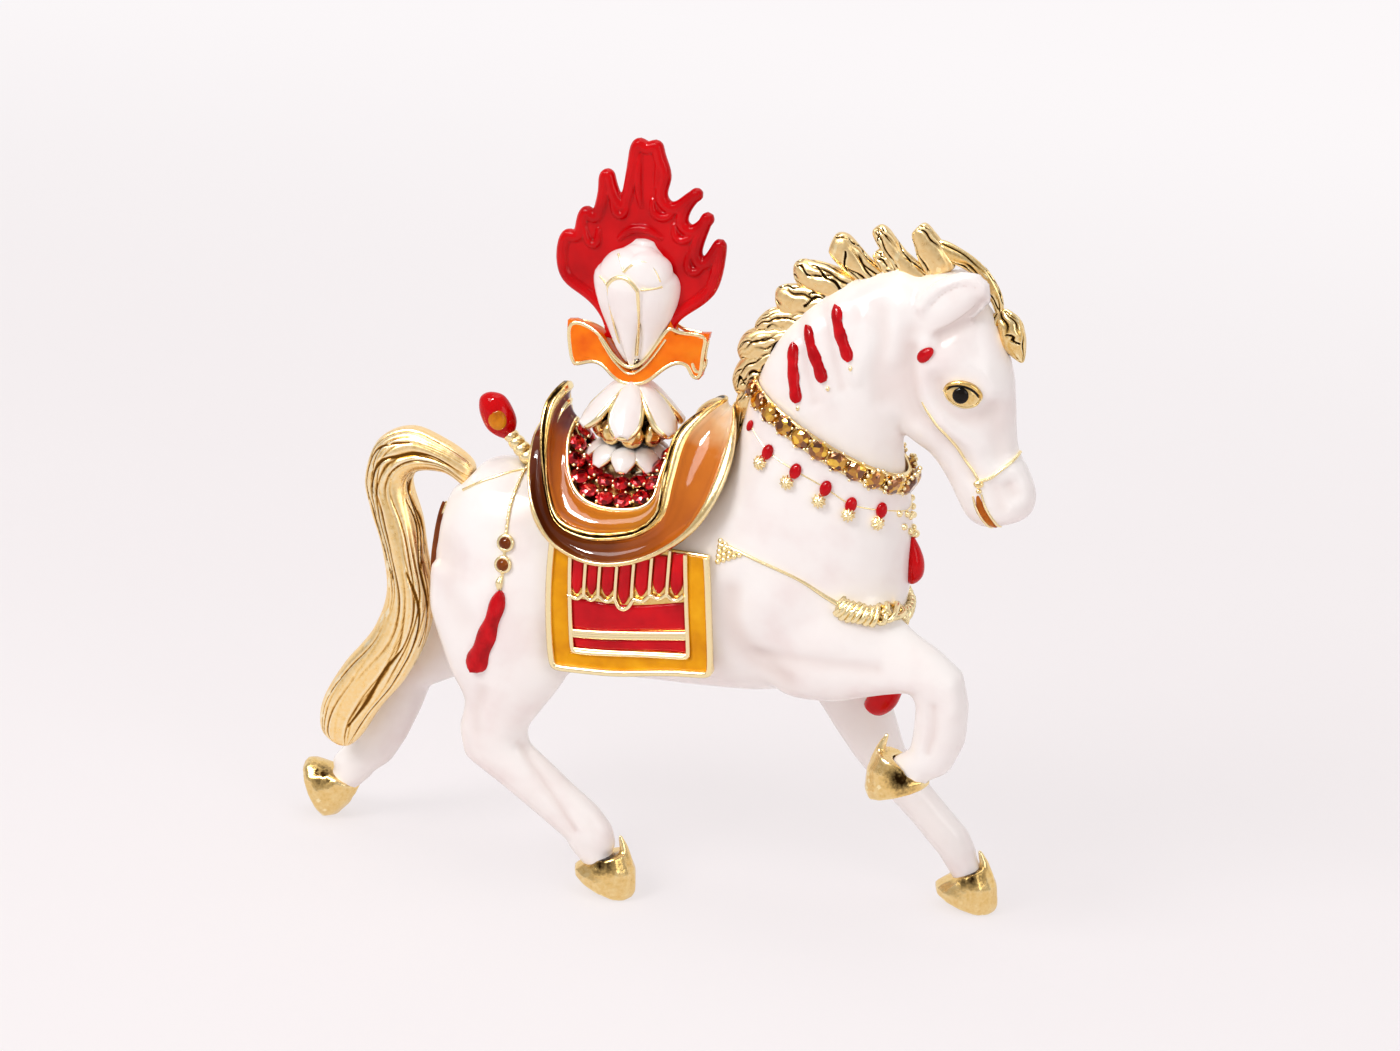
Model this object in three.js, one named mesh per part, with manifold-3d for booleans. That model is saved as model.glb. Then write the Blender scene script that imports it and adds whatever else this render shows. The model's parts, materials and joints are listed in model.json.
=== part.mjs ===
// A cast, gold-plated and enamelled statuette of a trotting horse that carries a lotus and a flaming
// jewel. Millimetres. +X runs from tail to head, +Y to the horse's left side, +Z up. The hoof tips stand
// on z = 0.

import * as THREE from 'three';
import { mergeVertices } from 'three/addons/utils/BufferGeometryUtils.js';
import Module from 'manifold-3d';

const wasm = await Module();
wasm.setup();

// Driving dimensions

const seatGap = 0.3;           // clearance between two castings that seat on each other
const toeCut = 0.45;           // how much of each standing hoof tip is ground off to make its flat
const barrelHalfWidth = 8.6;   // half the width of the body behind the shoulders
const clothThickness = 0.6;
const enamelThickness = 0.4;
const pinRadius = 0.8;         // the pin that carries the lotus, the ribbon and the bud
const pinHole = pinRadius + seatGap;
const finialX = -6;            // the pin stands here
const collarStones = 20;
const seatStones = 20;
const strapHeight = 0.6;

// Solids and geometries

function solidOf(geometry) {
  const bare = new THREE.BufferGeometry();
  bare.setAttribute('position', geometry.getAttribute('position').clone());
  if (geometry.index) bare.setIndex(geometry.index.clone());
  const merged = mergeVertices(bare, 1e-4);
  const triVerts = new Uint32Array(merged.index.array);
  const vertProperties = new Float32Array(merged.getAttribute('position').array);
  return new wasm.Manifold(new wasm.Mesh({ numProp: 3, vertProperties, triVerts }));
}

function geometryOf(solid) {
  const made = solid.getMesh();
  const geometry = new THREE.BufferGeometry();
  geometry.setAttribute('position', new THREE.Float32BufferAttribute(made.vertProperties, 3));
  geometry.setIndex(Array.from(made.triVerts));
  geometry.computeVertexNormals();
  return geometry;
}

// The same solid with its skin moved outward.
function grown(solid, distance = seatGap) {
  const geometry = geometryOf(solid);
  const place = geometry.getAttribute('position');
  const normal = geometry.getAttribute('normal');
  for (let i = 0; i < place.count; i++) {
    place.setXYZ(
      i,
      place.getX(i) + distance * normal.getX(i),
      place.getY(i) + distance * normal.getY(i),
      place.getZ(i) + distance * normal.getZ(i),
    );
  }
  return solidOf(geometry);
}

function union(...solids) {
  return solids.reduce((sum, solid) => sum.add(solid));
}

function without(solid, ...others) {
  return others.reduce((rest, other) => rest.subtract(other), solid);
}

function moved(geometry, position, rotation = [0, 0, 0], scale = [1, 1, 1]) {
  const turn = new THREE.Quaternion().setFromEuler(new THREE.Euler(...rotation));
  const matrix = new THREE.Matrix4();
  matrix.compose(new THREE.Vector3(...position), turn, new THREE.Vector3(...scale));
  return geometry.applyMatrix4(matrix);
}

function box(low, high) {
  const size = high.map((value, axis) => value - low[axis]);
  const middle = high.map((value, axis) => (value + low[axis]) / 2);
  return solidOf(moved(new THREE.BoxGeometry(...size), middle));
}

function facingOut(geometry) {
  const place = geometry.getAttribute('position');
  const index = geometry.index.array;
  const [a, b, c] = [new THREE.Vector3(), new THREE.Vector3(), new THREE.Vector3()];
  let volume = 0;
  for (let i = 0; i < index.length; i += 3) {
    a.fromBufferAttribute(place, index[i]);
    b.fromBufferAttribute(place, index[i + 1]);
    c.fromBufferAttribute(place, index[i + 2]);
    volume += a.dot(b.cross(c));
  }
  if (volume < 0) {
    for (let i = 0; i < index.length; i += 3) {
      [index[i + 1], index[i + 2]] = [index[i + 2], index[i + 1]];
    }
  }
  return geometry;
}

function surface(points, faces) {
  const geometry = new THREE.BufferGeometry();
  const flat = points.flatMap((point) => point.toArray());
  geometry.setAttribute('position', new THREE.Float32BufferAttribute(flat, 3));
  geometry.setIndex(faces);
  return facingOut(geometry);
}

function stitch(faces, first, second, sides) {
  for (let j = 0; j < sides; j++) {
    const n = (j + 1) % sides;
    faces.push(first + j, first + n, second + j);
    faces.push(first + n, second + n, second + j);
  }
}

// A closed skin over rings of equal length, with a fan to a pole at each end.
function capped(rings, pole0, pole1) {
  const sides = rings[0].length;
  const points = [pole0, ...rings.flat(), pole1];
  const faces = [];
  for (let r = 0; r < rings.length - 1; r++) stitch(faces, 1 + r * sides, 1 + (r + 1) * sides, sides);
  const top = 1 + (rings.length - 1) * sides;
  for (let j = 0; j < sides; j++) {
    const n = (j + 1) % sides;
    faces.push(0, 1 + n, 1 + j);
    faces.push(points.length - 1, top + j, top + n);
  }
  return surface(points, faces);
}

// A closed skin over loops of equal length that lead back to the first loop.
function ringed(loops) {
  const sides = loops[0].length;
  const faces = [];
  loops.forEach((loop, r) => stitch(faces, r * sides, ((r + 1) % loops.length) * sides, sides));
  return surface(loops.flat(), faces);
}

// A loft through stations. Each station is a line in the side view, from one outline to the other,
// with the half width across it and the y of its middle: [x, z, x, z, half width, middle y].
function smooth(values, t) {
  const last = values.length - 1;
  const i = Math.min(Math.floor(t), last - 1);
  const f = t - i;
  const p0 = values[Math.max(i - 1, 0)];
  const p1 = values[i];
  const p2 = values[i + 1];
  const p3 = values[Math.min(i + 2, last)];
  const slope = (p2 - p0) * f + (2 * p0 - 5 * p1 + 4 * p2 - p3) * f * f;
  return 0.5 * (2 * p1 + slope + (3 * p1 - p0 - 3 * p2 + p3) * f * f * f);
}

function stationRow(stations, t) {
  const column = (c) => stations.map((station) => station[c] ?? 0);
  const [ax, az, bx, bz, half, y] = [0, 1, 2, 3, 4, 5].map((c) => smooth(column(c), t));
  return { a: new THREE.Vector3(ax, y, az), b: new THREE.Vector3(bx, y, bz), half };
}

function stationRing(row, sides, power, flutes, depth, scale = 1) {
  const middle = row.a.clone().add(row.b).multiplyScalar(0.5);
  const reach = row.a.clone().sub(middle);
  return Array.from({ length: sides }, (_, j) => {
    const angle = (2 * Math.PI * j) / sides;
    const c = Math.sign(Math.cos(angle)) * Math.abs(Math.cos(angle)) ** (2 / power);
    const s = Math.sign(Math.sin(angle)) * Math.abs(Math.sin(angle)) ** (2 / power);
    const size = scale * (1 + depth * Math.cos(flutes * angle));
    const point = middle.clone().addScaledVector(reach, c * size);
    point.y += row.half * s * size;
    return point;
  });
}

function loft(stations, options = {}) {
  const { sides = 12, steps = 1, power = 2, flutes = 0, depth = 0, startDome = 0, endDome = 0 } = options;
  const count = (stations.length - 1) * steps;
  const rows = Array.from({ length: count + 1 }, (_, k) => stationRow(stations, k / steps));
  const middles = rows.map((row) => row.a.clone().add(row.b).multiplyScalar(0.5));
  const rings = rows.map((row) => stationRing(row, sides, power, flutes, depth));
  const dome = (end, inner, height) => {
    const out = middles[end].clone().sub(middles[inner]).normalize().multiplyScalar(height);
    const ring = stationRing(rows[end], sides, power, flutes, depth, 0.72);
    const shifted = ring.map((point) => point.addScaledVector(out, 0.7));
    return { ring: shifted, pole: middles[end].clone().add(out) };
  };
  const start = dome(0, 1, startDome);
  const finish = dome(count, count - 1, endDome);
  if (startDome > 0) rings.unshift(start.ring);
  if (endDome > 0) rings.push(finish.ring);
  return solidOf(capped(rings, start.pole, finish.pole));
}

function outlineOf(points) {
  return new THREE.Shape(points.map(([x, z]) => new THREE.Vector2(x, z)));
}

// A plate with the given outline in the side view, from one y to another, with its edges rounded off.
function plate(points, fromY, toY, bevel = 0) {
  const settings = {
    depth: toY - fromY - 2 * bevel,
    curveSegments: 1,
    bevelEnabled: bevel > 0,
    bevelThickness: bevel,
    bevelSize: bevel,
    bevelOffset: -bevel,
    bevelSegments: 1,
  };
  const geometry = new THREE.ExtrudeGeometry(outlineOf(points), settings);
  return solidOf(moved(geometry, [0, toY - bevel, 0], [Math.PI / 2, 0, 0]));
}

// What the horse is and wears is drawn for one width of barrel, and widens or narrows with it.

const broad = barrelHalfWidth / 8.6;
const broadened = ([x, y, z]) => [x, y * broad, z];
const across = (stations) => stations.map(([ax, az, bx, bz, half, y = 0]) => (
  [ax, az, bx, bz, half * broad, y * broad]
));

// Horse: stations of the barrel and chest, crest first, then belly or throat

const torsoStations = [
  [-25.6, 47.8, -27.4, 32.0, 5.2 * broad],
  [-22.8, 50.3, -23.0, 27.6, barrelHalfWidth * 0.88],
  [-17.0, 50.6, -15.0, 26.2, barrelHalfWidth * 0.97],
  [-9.5, 49.6, -8.0, 26.2, barrelHalfWidth],
  [-1.0, 49.4, 0.0, 26.8, barrelHalfWidth],
  [4.5, 52.4, 8.0, 27.2, barrelHalfWidth],
  [7.2, 57.4, 16.5, 28.4, barrelHalfWidth * 0.98],
  [7.8, 60.2, 24.6, 33.0, barrelHalfWidth * 0.96],
  [8.1, 62.0, 28.3, 40.4, barrelHalfWidth * 0.92],
  [8.3, 63.2, 28.3, 48.8, barrelHalfWidth * 0.85],
  [8.6, 64.6, 27.2, 55.8, barrelHalfWidth * 0.76],
];
const neckStations = across([
  [8.6, 64.6, 27.2, 55.8, 6.3],
  [9.6, 68.0, 26.5, 59.4, 5.9],
  [11.4, 71.6, 26.4, 62.0, 5.4],
  [14.4, 75.3, 27.6, 65.0, 4.9],
  [18.6, 78.6, 29.0, 67.6, 4.5],
  [24.4, 81.0, 31.0, 71.0, 4.1],
]);
const headStations = across([
  [33.2, 80.4, 24.4, 78.0, 3.2],
  [35.6, 77.0, 22.6, 73.4, 4.2],
  [38.0, 72.0, 23.2, 66.8, 4.5],
  [39.0, 67.6, 26.2, 61.9, 4.1],
  [39.4, 64.2, 29.6, 59.9, 3.2],
  [40.0, 61.2, 31.8, 57.3, 2.7],
  [41.3, 58.9, 33.2, 55.0, 2.6],
  [42.5, 56.4, 34.5, 52.9, 2.6],
  [42.2, 54.2, 35.7, 52.0, 2.1],
]);
const earStations = across([
  [27.8, 75.0, 30.4, 73.2, 1.0, -2.8],
  [27.6, 77.2, 32.1, 75.4, 1.1, -3.3],
  [29.5, 79.6, 34.1, 77.4, 1.0, -3.5],
  [31.9, 81.0, 35.1, 79.4, 0.8, -3.6],
  [33.7, 81.5, 35.0, 80.8, 0.4, -3.6],
]);
const farEarStations = earStations.map(([ax, az, bx, bz, half, y]) => (
  [ax - 0.8, az - 1.4, bx - 0.8, bz - 1.4, half, -y]
));
const hindRightStations = across([
  [-9.6, 37.0, -28.4, 38.0, 4.0, -4.8],
  [-9.6, 31.0, -28.2, 32.6, 4.2, -5.2],
  [-10.6, 25.8, -25.2, 25.6, 3.8, -5.8],
  [-13.2, 22.0, -22.6, 22.0, 3.0, -6.0],
  [-15.1, 19.2, -23.2, 18.2, 2.6, -6.0],
  [-14.6, 17.2, -22.4, 14.8, 2.3, -6.1],
  [-12.0, 15.4, -17.4, 11.8, 2.1, -6.2],
  [-8.8, 13.0, -13.0, 9.0, 2.0, -6.3],
  [-5.6, 10.8, -9.6, 6.8, 2.0, -6.4],
  [-3.6, 8.6, -7.2, 5.0, 1.9, -6.5],
  [-3.0, 6.4, -5.8, 4.2, 1.4, -6.5],
]);
const hindLeftStations = across([
  [-11.0, 38.0, -27.4, 38.0, 4.0, 4.6],
  [-14.0, 31.0, -28.4, 34.0, 4.0, 4.6],
  [-20.0, 24.4, -30.4, 29.4, 3.6, 4.4],
  [-26.2, 21.0, -32.4, 25.0, 3.0, 4.0],
  [-30.8, 18.6, -35.0, 21.0, 2.5, 3.4],
  [-31.6, 15.6, -36.4, 17.6, 2.3, 2.8],
  [-33.2, 11.4, -38.0, 13.8, 2.1, 2.3],
  [-34.8, 8.4, -39.2, 11.0, 2.0, 1.8],
  [-37.4, 6.2, -40.8, 9.2, 1.9, 1.4],
  [-39.6, 5.2, -42.0, 7.6, 1.4, 1.2],
]);
const foreLeftStations = across([
  [26.0, 40.0, 13.0, 34.0, 3.6, 4.8],
  [26.4, 32.0, 14.6, 28.6, 3.6, 5.2],
  [26.6, 25.0, 18.6, 23.4, 2.9, 6.0],
  [28.4, 19.6, 22.6, 18.0, 2.3, 6.6],
  [31.0, 15.8, 26.4, 14.0, 2.1, 7.1],
  [34.0, 12.6, 30.2, 10.4, 1.9, 7.5],
  [36.8, 9.8, 33.2, 7.2, 1.9, 7.7],
  [38.2, 7.2, 35.6, 5.2, 1.4, 7.8],
]);
const foreRightStations = across([
  [25.6, 44.0, 11.6, 31.6, 3.6, -4.6],
  [28.6, 41.0, 16.0, 28.6, 3.6, -5.0],
  [31.2, 39.2, 22.0, 29.2, 3.2, -5.6],
  [34.0, 37.8, 27.4, 31.4, 2.8, -6.0],
  [37.0, 35.6, 31.2, 32.8, 2.6, -6.2],
  [38.1, 31.8, 32.2, 31.2, 2.4, -6.3],
  [38.1, 27.4, 32.2, 27.8, 2.2, -6.3],
  [36.6, 23.4, 32.0, 25.2, 2.0, -6.3],
  [33.4, 21.4, 31.0, 24.6, 1.7, -6.3],
  [31.4, 20.9, 29.8, 23.6, 1.3, -6.3],
]);

const torsoCore = loft(torsoStations, { sides: 18, steps: 2, power: 2.25, startDome: 2.2 });
const torsoRoom = grown(torsoCore);
const headCore = union(
  loft(neckStations, { sides: 16, steps: 1, endDome: 2 }),
  loft(headStations, { sides: 16, steps: 2, power: 2.2, startDome: 1.8, endDome: 0.8 }),
  loft(earStations, { sides: 6 }),
  loft(farEarStations, { sides: 6 }),
);
const legCores = {
  leg_hind_right: loft(hindRightStations, { sides: 12, startDome: 1, endDome: 0.4 }),
  leg_hind_left: loft(hindLeftStations, { sides: 12, startDome: 1, endDome: 0.4 }),
  leg_fore_left: loft(foreLeftStations, { sides: 12, startDome: 1, endDome: 0.4 }),
  leg_fore_right: loft(foreRightStations, { sides: 12, startDome: 1, endDome: 0.4 }),
};

// Each leg and the head carry a spigot that seats in a socket of the torso: [x, y, z] of its outer end,
// [x, y, z] of its inner end, radius.
const spigots = {
  leg_hind_right: [[-19, -8.4, 36], [-19, -3.6, 36], 1.6],
  leg_hind_left: [[-19, 8.2, 36], [-19, 3.6, 36], 1.6],
  leg_fore_left: [[20, 8, 35], [20, 3.4, 36], 1.5],
  leg_fore_right: [[20, -8, 37], [20, -3.4, 37], 1.5],
  head: [[19.6, 0, 64.4], [17.4, 0, 60.4], 3],
};

function rod(from, to, radius, sides = 10) {
  const start = new THREE.Vector3(...from);
  const end = new THREE.Vector3(...to);
  const geometry = new THREE.CylinderGeometry(radius, radius, start.distanceTo(end), sides);
  const turn = new THREE.Quaternion().setFromUnitVectors(
    new THREE.Vector3(0, 1, 0), end.clone().sub(start).normalize(),
  );
  const middle = start.add(end).multiplyScalar(0.5);
  geometry.applyMatrix4(new THREE.Matrix4().compose(middle, turn, new THREE.Vector3(1, 1, 1)));
  return solidOf(geometry);
}

const spigotOf = ([from, to, radius]) => rod(broadened(from), broadened(to), radius);

function socketOf([from, to, radius]) {
  const start = new THREE.Vector3(...broadened(from));
  const end = new THREE.Vector3(...broadened(to));
  const deeper = end.clone().sub(start).setLength(seatGap);
  return rod(start.toArray(), deeper.add(end).toArray(), radius + seatGap);
}

// Hooves. Stations in the hoof's own frame: the toe at zero, the heel toward -x, z up from the sole.

const hoofStations = across([
  [0.0, 0.0, -7.6, -0.2, 2.7],
  [0.1, 1.4, -8.1, 0.7, 3.1],
  [-1.0, 3.8, -7.2, 2.0, 2.8],
  [-3.1, 5.7, -6.3, 2.8, 2.3],
]);
const hoofSpike = across([
  [-1.6, 4.6, -3.4, 4.0, 1.2],
  [-3.2, 6.3, -4.2, 5.6, 0.7],
  [-4.6, 7.3, -5.0, 6.9, 0.3],
]);
const hooves = {
  hoof_hind_right: { toe: [-0.6, -toeCut], y: -6.5, tilt: 0.38 },
  hoof_hind_left: { toe: [-42.6, -toeCut], y: 1.1, tilt: 1.15 },
  hoof_fore_left: { toe: [41.0, -toeCut], y: 7.8, tilt: 0.3 },
  hoof_fore_right: { toe: [27.4, 18.4], y: -6.3, tilt: -0.4, turn: Math.PI },
};

function hoofCore({ toe, y, tilt, turn = 0 }) {
  const shell = union(loft(hoofStations, { sides: 12 }), loft(hoofSpike, { sides: 5 }));
  const placed = moved(geometryOf(shell), [toe[0], y * broad, toe[1]], [0, tilt, turn]);
  return solidOf(placed).subtract(box([-60, -20, -10], [60, 20, 0]));
}

// Mane, forelock and tail

const maneBase = across([
  [6.9, 57.0, 8.6, 58.0, 1.0],
  [6.3, 62.0, 9.6, 62.0, 1.5],
  [6.0, 66.8, 10.8, 66.6, 1.7],
  [7.4, 70.0, 12.6, 69.4, 1.7],
  [9.6, 72.6, 15.4, 72.0, 1.6],
  [12.6, 76.6, 18.0, 73.6, 1.5],
  [17.2, 79.4, 21.6, 75.8, 1.4],
  [22.4, 80.6, 25.4, 77.4, 1.3],
  [28.0, 82.4, 29.0, 79.4, 1.1],
]);
const maneLocks = [
  [[16.4, 76.8, 16.0, 74.0, 1.3], [13.0, 76.5, 13.0, 73.2, 1.1], [10.3, 75.6, 10.8, 73.6, 0.6]],
  [[19.6, 78.6, 18.6, 76.2, 1.3], [15.4, 79.8, 15.2, 76.8, 1.1], [12.2, 79.3, 12.4, 77.6, 0.6]],
  [[23.4, 78.8, 21.4, 77.4, 1.3], [19.6, 82.7, 18.0, 80.4, 1.1], [16.8, 83.5, 16.1, 81.6, 0.7]],
  [[25.6, 79.4, 23.6, 78.4, 1.2], [23.0, 82.0, 21.8, 81.0, 0.9], [21.6, 82.5, 21.0, 81.9, 0.4]],
  [[27.6, 80.6, 25.0, 79.4, 1.2], [23.6, 83.6, 22.4, 82.2, 0.9], [21.8, 85.2, 20.7, 84.5, 0.5]],
  [[30.4, 82.0, 27.0, 80.4, 1.2], [28.6, 84.8, 26.4, 82.8, 0.9], [26.6, 85.9, 25.6, 85.1, 0.5]],
];
const forelockStations = across([
  [28.6, 84.7, 28.2, 82.4, 0.9],
  [31.8, 83.3, 31.2, 81.6, 0.8],
  [34.4, 81.6, 33.4, 80.6, 0.7],
  [36.2, 78.8, 34.6, 78.4, 0.7],
  [37.2, 77.4, 35.2, 76.2, 1.2],
  [38.9, 75.2, 36.4, 74.4, 1.3],
  [39.5, 72.4, 38.2, 72.4, 0.5],
]);
const forelockTuft = across([
  [37.4, 76.8, 35.4, 77.0, 0.8],
  [37.4, 75.0, 35.4, 75.4, 0.9],
  [37.2, 73.6, 36.0, 73.5, 0.6],
]);
const tailStations = across([
  [-24.6, 49.0, -25.4, 45.6, 1.6, 0],
  [-29.0, 50.8, -28.4, 47.0, 2.0, 0],
  [-33.4, 52.0, -31.6, 47.2, 2.3, 0],
  [-37.4, 50.6, -33.2, 46.6, 2.5, -0.2],
  [-39.2, 46.8, -33.8, 45.0, 2.7, -0.4],
  [-39.0, 42.6, -33.0, 42.0, 2.8, -0.8],
  [-37.0, 37.6, -31.0, 37.4, 2.8, -1.4],
  [-35.0, 32.4, -29.6, 32.4, 2.8, -2.0],
  [-35.4, 28.0, -29.4, 27.0, 2.6, -2.7],
  [-38.0, 23.8, -31.4, 21.6, 2.4, -3.1],
  [-41.0, 19.6, -34.0, 17.6, 2.2, -3.3],
  [-42.6, 15.2, -37.0, 13.6, 1.8, -3.3],
  [-41.8, 11.9, -39.0, 11.5, 0.9, -3.2],
]);

// Things laid on the skin. A point is pushed in toward the middle line of its part until it meets the
// skin.

const skinMesh = new THREE.Mesh(geometryOf(union(torsoCore, headCore, ...Object.values(legCores))));
skinMesh.material.side = THREE.DoubleSide;
const caster = new THREE.Raycaster();

function onSkin(target, centre) {
  const middle = new THREE.Vector3(...centre);
  const out = new THREE.Vector3(...target).sub(middle);
  const reach = out.length() + 4;
  out.normalize();
  const helper = Math.abs(out.z) < 0.9 ? new THREE.Vector3(0, 0, 1) : new THREE.Vector3(1, 0, 0);
  const side = helper.cross(out).normalize().multiplyScalar(0.5);
  const along = out.clone().cross(side);
  const hit = (shift, sign) => {
    const start = middle.clone().addScaledVector(shift, sign).addScaledVector(out, reach);
    caster.set(start, out.clone().negate());
    return caster.intersectObject(skinMesh)[0].point.clone();
  };
  const normal = hit(side, 1).sub(hit(side, -1)).cross(hit(along, 1).sub(hit(along, -1))).normalize();
  return { point: hit(side, 0), normal: normal.dot(out) < 0 ? normal.negate() : normal };
}

const level = (x) => ([, , z]) => [x, 0, z];
const fixed = (...centre) => () => centre;

// A strap over skin points, with a flat underside that clears the skin.
function strap(path, centreOf, width, height = strapHeight, lift = seatGap + 0.1) {
  const spots = path.map((target) => onSkin(target, centreOf(target)));
  const rings = spots.map(({ point, normal }, k) => {
    const before = spots[Math.max(k - 1, 0)].point;
    const after = spots[Math.min(k + 1, spots.length - 1)].point;
    const side = after.clone().sub(before).normalize().cross(normal).normalize();
    const wide = Array.isArray(width) ? width[k] : width;
    const corner = ([across, up]) => (
      point.clone().addScaledVector(side, (across * wide) / 2).addScaledVector(normal, lift + up * height)
    );
    return [[-1, 0], [-1, 0.5], [-0.4, 1], [0.4, 1], [1, 0.5], [1, 0]].map(corner);
  });
  const middle = (ring) => (
    ring.reduce((sum, corner) => sum.add(corner), new THREE.Vector3()).divideScalar(ring.length)
  );
  return solidOf(capped(rings, middle(rings[0]), middle(rings[rings.length - 1])));
}

// A strap that swells at each of its points.
function beaded(path, centreOf, thin, thick, height) {
  const mix = (one, two, share) => one.map((value, k) => value + (two[k] - value) * share);
  const rings = path.flatMap((target, k) => [
    [mix(target, path[Math.max(k - 1, 0)], 0.24), thin],
    [target, thick],
    [mix(target, path[Math.min(k + 1, path.length - 1)], 0.24), thin],
  ]);
  const inner = rings.slice(1, -1);
  return strap(inner.map(([target]) => target), centreOf, inner.map(([, width]) => width), height);
}

// A domed bead on the skin: half its length along the skin, half its height up it, and its thickness.
function bead(target, centre, long, tall, thick, segments = [6, 4]) {
  const { point, normal } = onSkin(target, centre);
  const right = new THREE.Vector3(0, 0, 1).cross(normal).normalize();
  const up = right.clone().cross(normal);
  const turn = new THREE.Matrix4().makeBasis(right, normal, up);
  const place = point.addScaledVector(normal, seatGap + thick / 2);
  const size = new THREE.Vector3(long, thick / 2, tall);
  const geometry = new THREE.SphereGeometry(1, ...segments);
  return solidOf(geometry.applyMatrix4(turn.scale(size).setPosition(place)));
}

const toSide = (side, points) => points.map(([x, y, z]) => [x, side * y * broad, z]);
const roundFront = (points) => [...toSide(-1, points), ...toSide(1, points.slice(0, -1).reverse())];

// Saddle: matching stations of its loops from the pommel round one side to the cantle, [x, y, z]

const skirtRim = [
  [6.2, 0, 61.6], [7.4, 3.6, 60.2], [7.7, 6.6, 57.0], [6.9, 9.0, 53.2], [4.8, 10.2, 49.2],
  [1.2, 10.5, 45.9], [-3.0, 10.6, 43.8], [-7.6, 10.6, 43.3], [-12.0, 10.3, 45.0], [-14.8, 9.2, 48.4],
  [-16.2, 6.6, 51.6], [-16.9, 3.4, 54.2], [-17.1, 0, 55.4],
];
const ridge = [
  [5.2, 0, 61.7], [3.4, 2.3, 60.8], [1.1, 4.3, 58.2], [0.6, 6.6, 53.8], [0.5, 8.4, 49.8],
  [-1.6, 9.1, 47.5], [-4.6, 9.4, 46.5], [-8.2, 9.4, 46.1], [-11.8, 8.8, 47.0], [-14.0, 7.0, 50.2],
  [-15.2, 5.0, 54.8], [-15.3, 2.7, 59.0], [-14.2, 0, 60.9],
];
const seatEdge = [
  [1.4, 0, 57.6], [0.2, 1.8, 56.4], [-0.6, 3.4, 54.8], [-0.8, 5.0, 52.8], [-1.0, 6.3, 51.0],
  [-2.2, 7.0, 49.8], [-4.6, 7.3, 49.2], [-7.6, 7.3, 49.2], [-10.0, 6.7, 50.0], [-11.6, 5.4, 51.6],
  [-12.5, 3.9, 53.4], [-12.9, 2.1, 55.4], [-12.8, 0, 56.8],
];
const seatTop = 52.2;
const seatRadius = 3.4;

const ringCount = 2 * (ridge.length - 1);
const loopOf = (stations) => Array.from({ length: ringCount }, (_, k) => {
  const nearSide = k < stations.length;
  const [x, y, z] = stations[nearSide ? k : ringCount - k];
  return new THREE.Vector3(x, (nearSide ? -y : y) * broad, z);
});
const circleOf = (radius, z) => Array.from({ length: ringCount }, (_, k) => {
  const angle = (2 * Math.PI * k) / ringCount;
  return new THREE.Vector3(finialX + radius * Math.cos(angle), -radius * Math.sin(angle), z);
});
const between = (one, two, share, lift = 0) => one.map((point, k) => {
  const mixed = point.clone().lerp(two[k], share);
  mixed.z += lift * 0.75;
  mixed.y += Math.sign(mixed.y) * lift * (Math.abs(mixed.y) > 3 ? 0.65 : 0);
  return mixed;
});
const rimLoop = loopOf(skirtRim);
const ridgeLoop = loopOf(ridge);
const seatLoop = loopOf(seatEdge);
const seatInner = circleOf(seatRadius, seatTop);

function saddleCore() {
  const under = between(ridgeLoop, circleOf(1, 46), 0.12, -1.6);
  const loops = [
    under,
    between(rimLoop, ridgeLoop, 0.1, -0.7),
    rimLoop,
    between(rimLoop, ridgeLoop, 0.12, 0.1),
    between(rimLoop, ridgeLoop, 0.2, -0.55),
    between(rimLoop, ridgeLoop, 0.7, -0.75),
    between(rimLoop, ridgeLoop, 0.8, -0.1),
    between(ridgeLoop, rimLoop, 0.06, 0.3),
    between(ridgeLoop, seatLoop, 0.14, 0.2),
    between(ridgeLoop, seatLoop, 0.34, -0.4),
    between(ridgeLoop, seatLoop, 0.8, -0.6),
    between(ridgeLoop, seatLoop, 0.92, 0),
    between(seatLoop, seatInner, 0.05, 0),
    between(seatLoop, seatInner, 0.1, -1.2),
    between(seatInner, seatLoop, 0.1, -1.6),
  ];
  const low = new THREE.Vector3(finialX, 0, 44);
  const high = new THREE.Vector3(finialX, 0, seatTop - 1.6);
  return solidOf(capped(loops, low, high));
}

function enamelBand(one, two, from, to, low, high) {
  return solidOf(ringed([
    between(one, two, from, low),
    between(one, two, from, high),
    between(one, two, to, high),
    between(one, two, to, low),
  ]));
}

function alongLoop(loop, count) {
  const curve = new THREE.CatmullRomCurve3(loop, true);
  return Array.from({ length: count }, (_, k) => curve.getPointAt(k / count));
}

// A field of stones round the seat: two rows of points that stand up between their neighbours.
function paveCore() {
  const up = new THREE.Vector3(finialX, 0, seatTop + 6);
  const field = (share, lift, evenHeight = 0, oddHeight = 0) => (
    alongLoop(between(seatLoop, seatInner, share, lift), 2 * seatStones).map((point, k) => {
      const inward = up.clone().sub(point).normalize();
      return point.addScaledVector(inward, k % 2 ? oddHeight : evenHeight);
    })
  );
  return solidOf(ringed([
    field(0.18, -0.7), field(0.1, 0), field(0.28, 0, 1, 0.1), field(0.46, 0.1),
    field(0.64, 0.1, 0.1, 0.8), field(0.8, 0), field(0.8, -1.0),
  ]));
}

// Saddle cloth: its outline in the side view, and the pattern on each side

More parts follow.
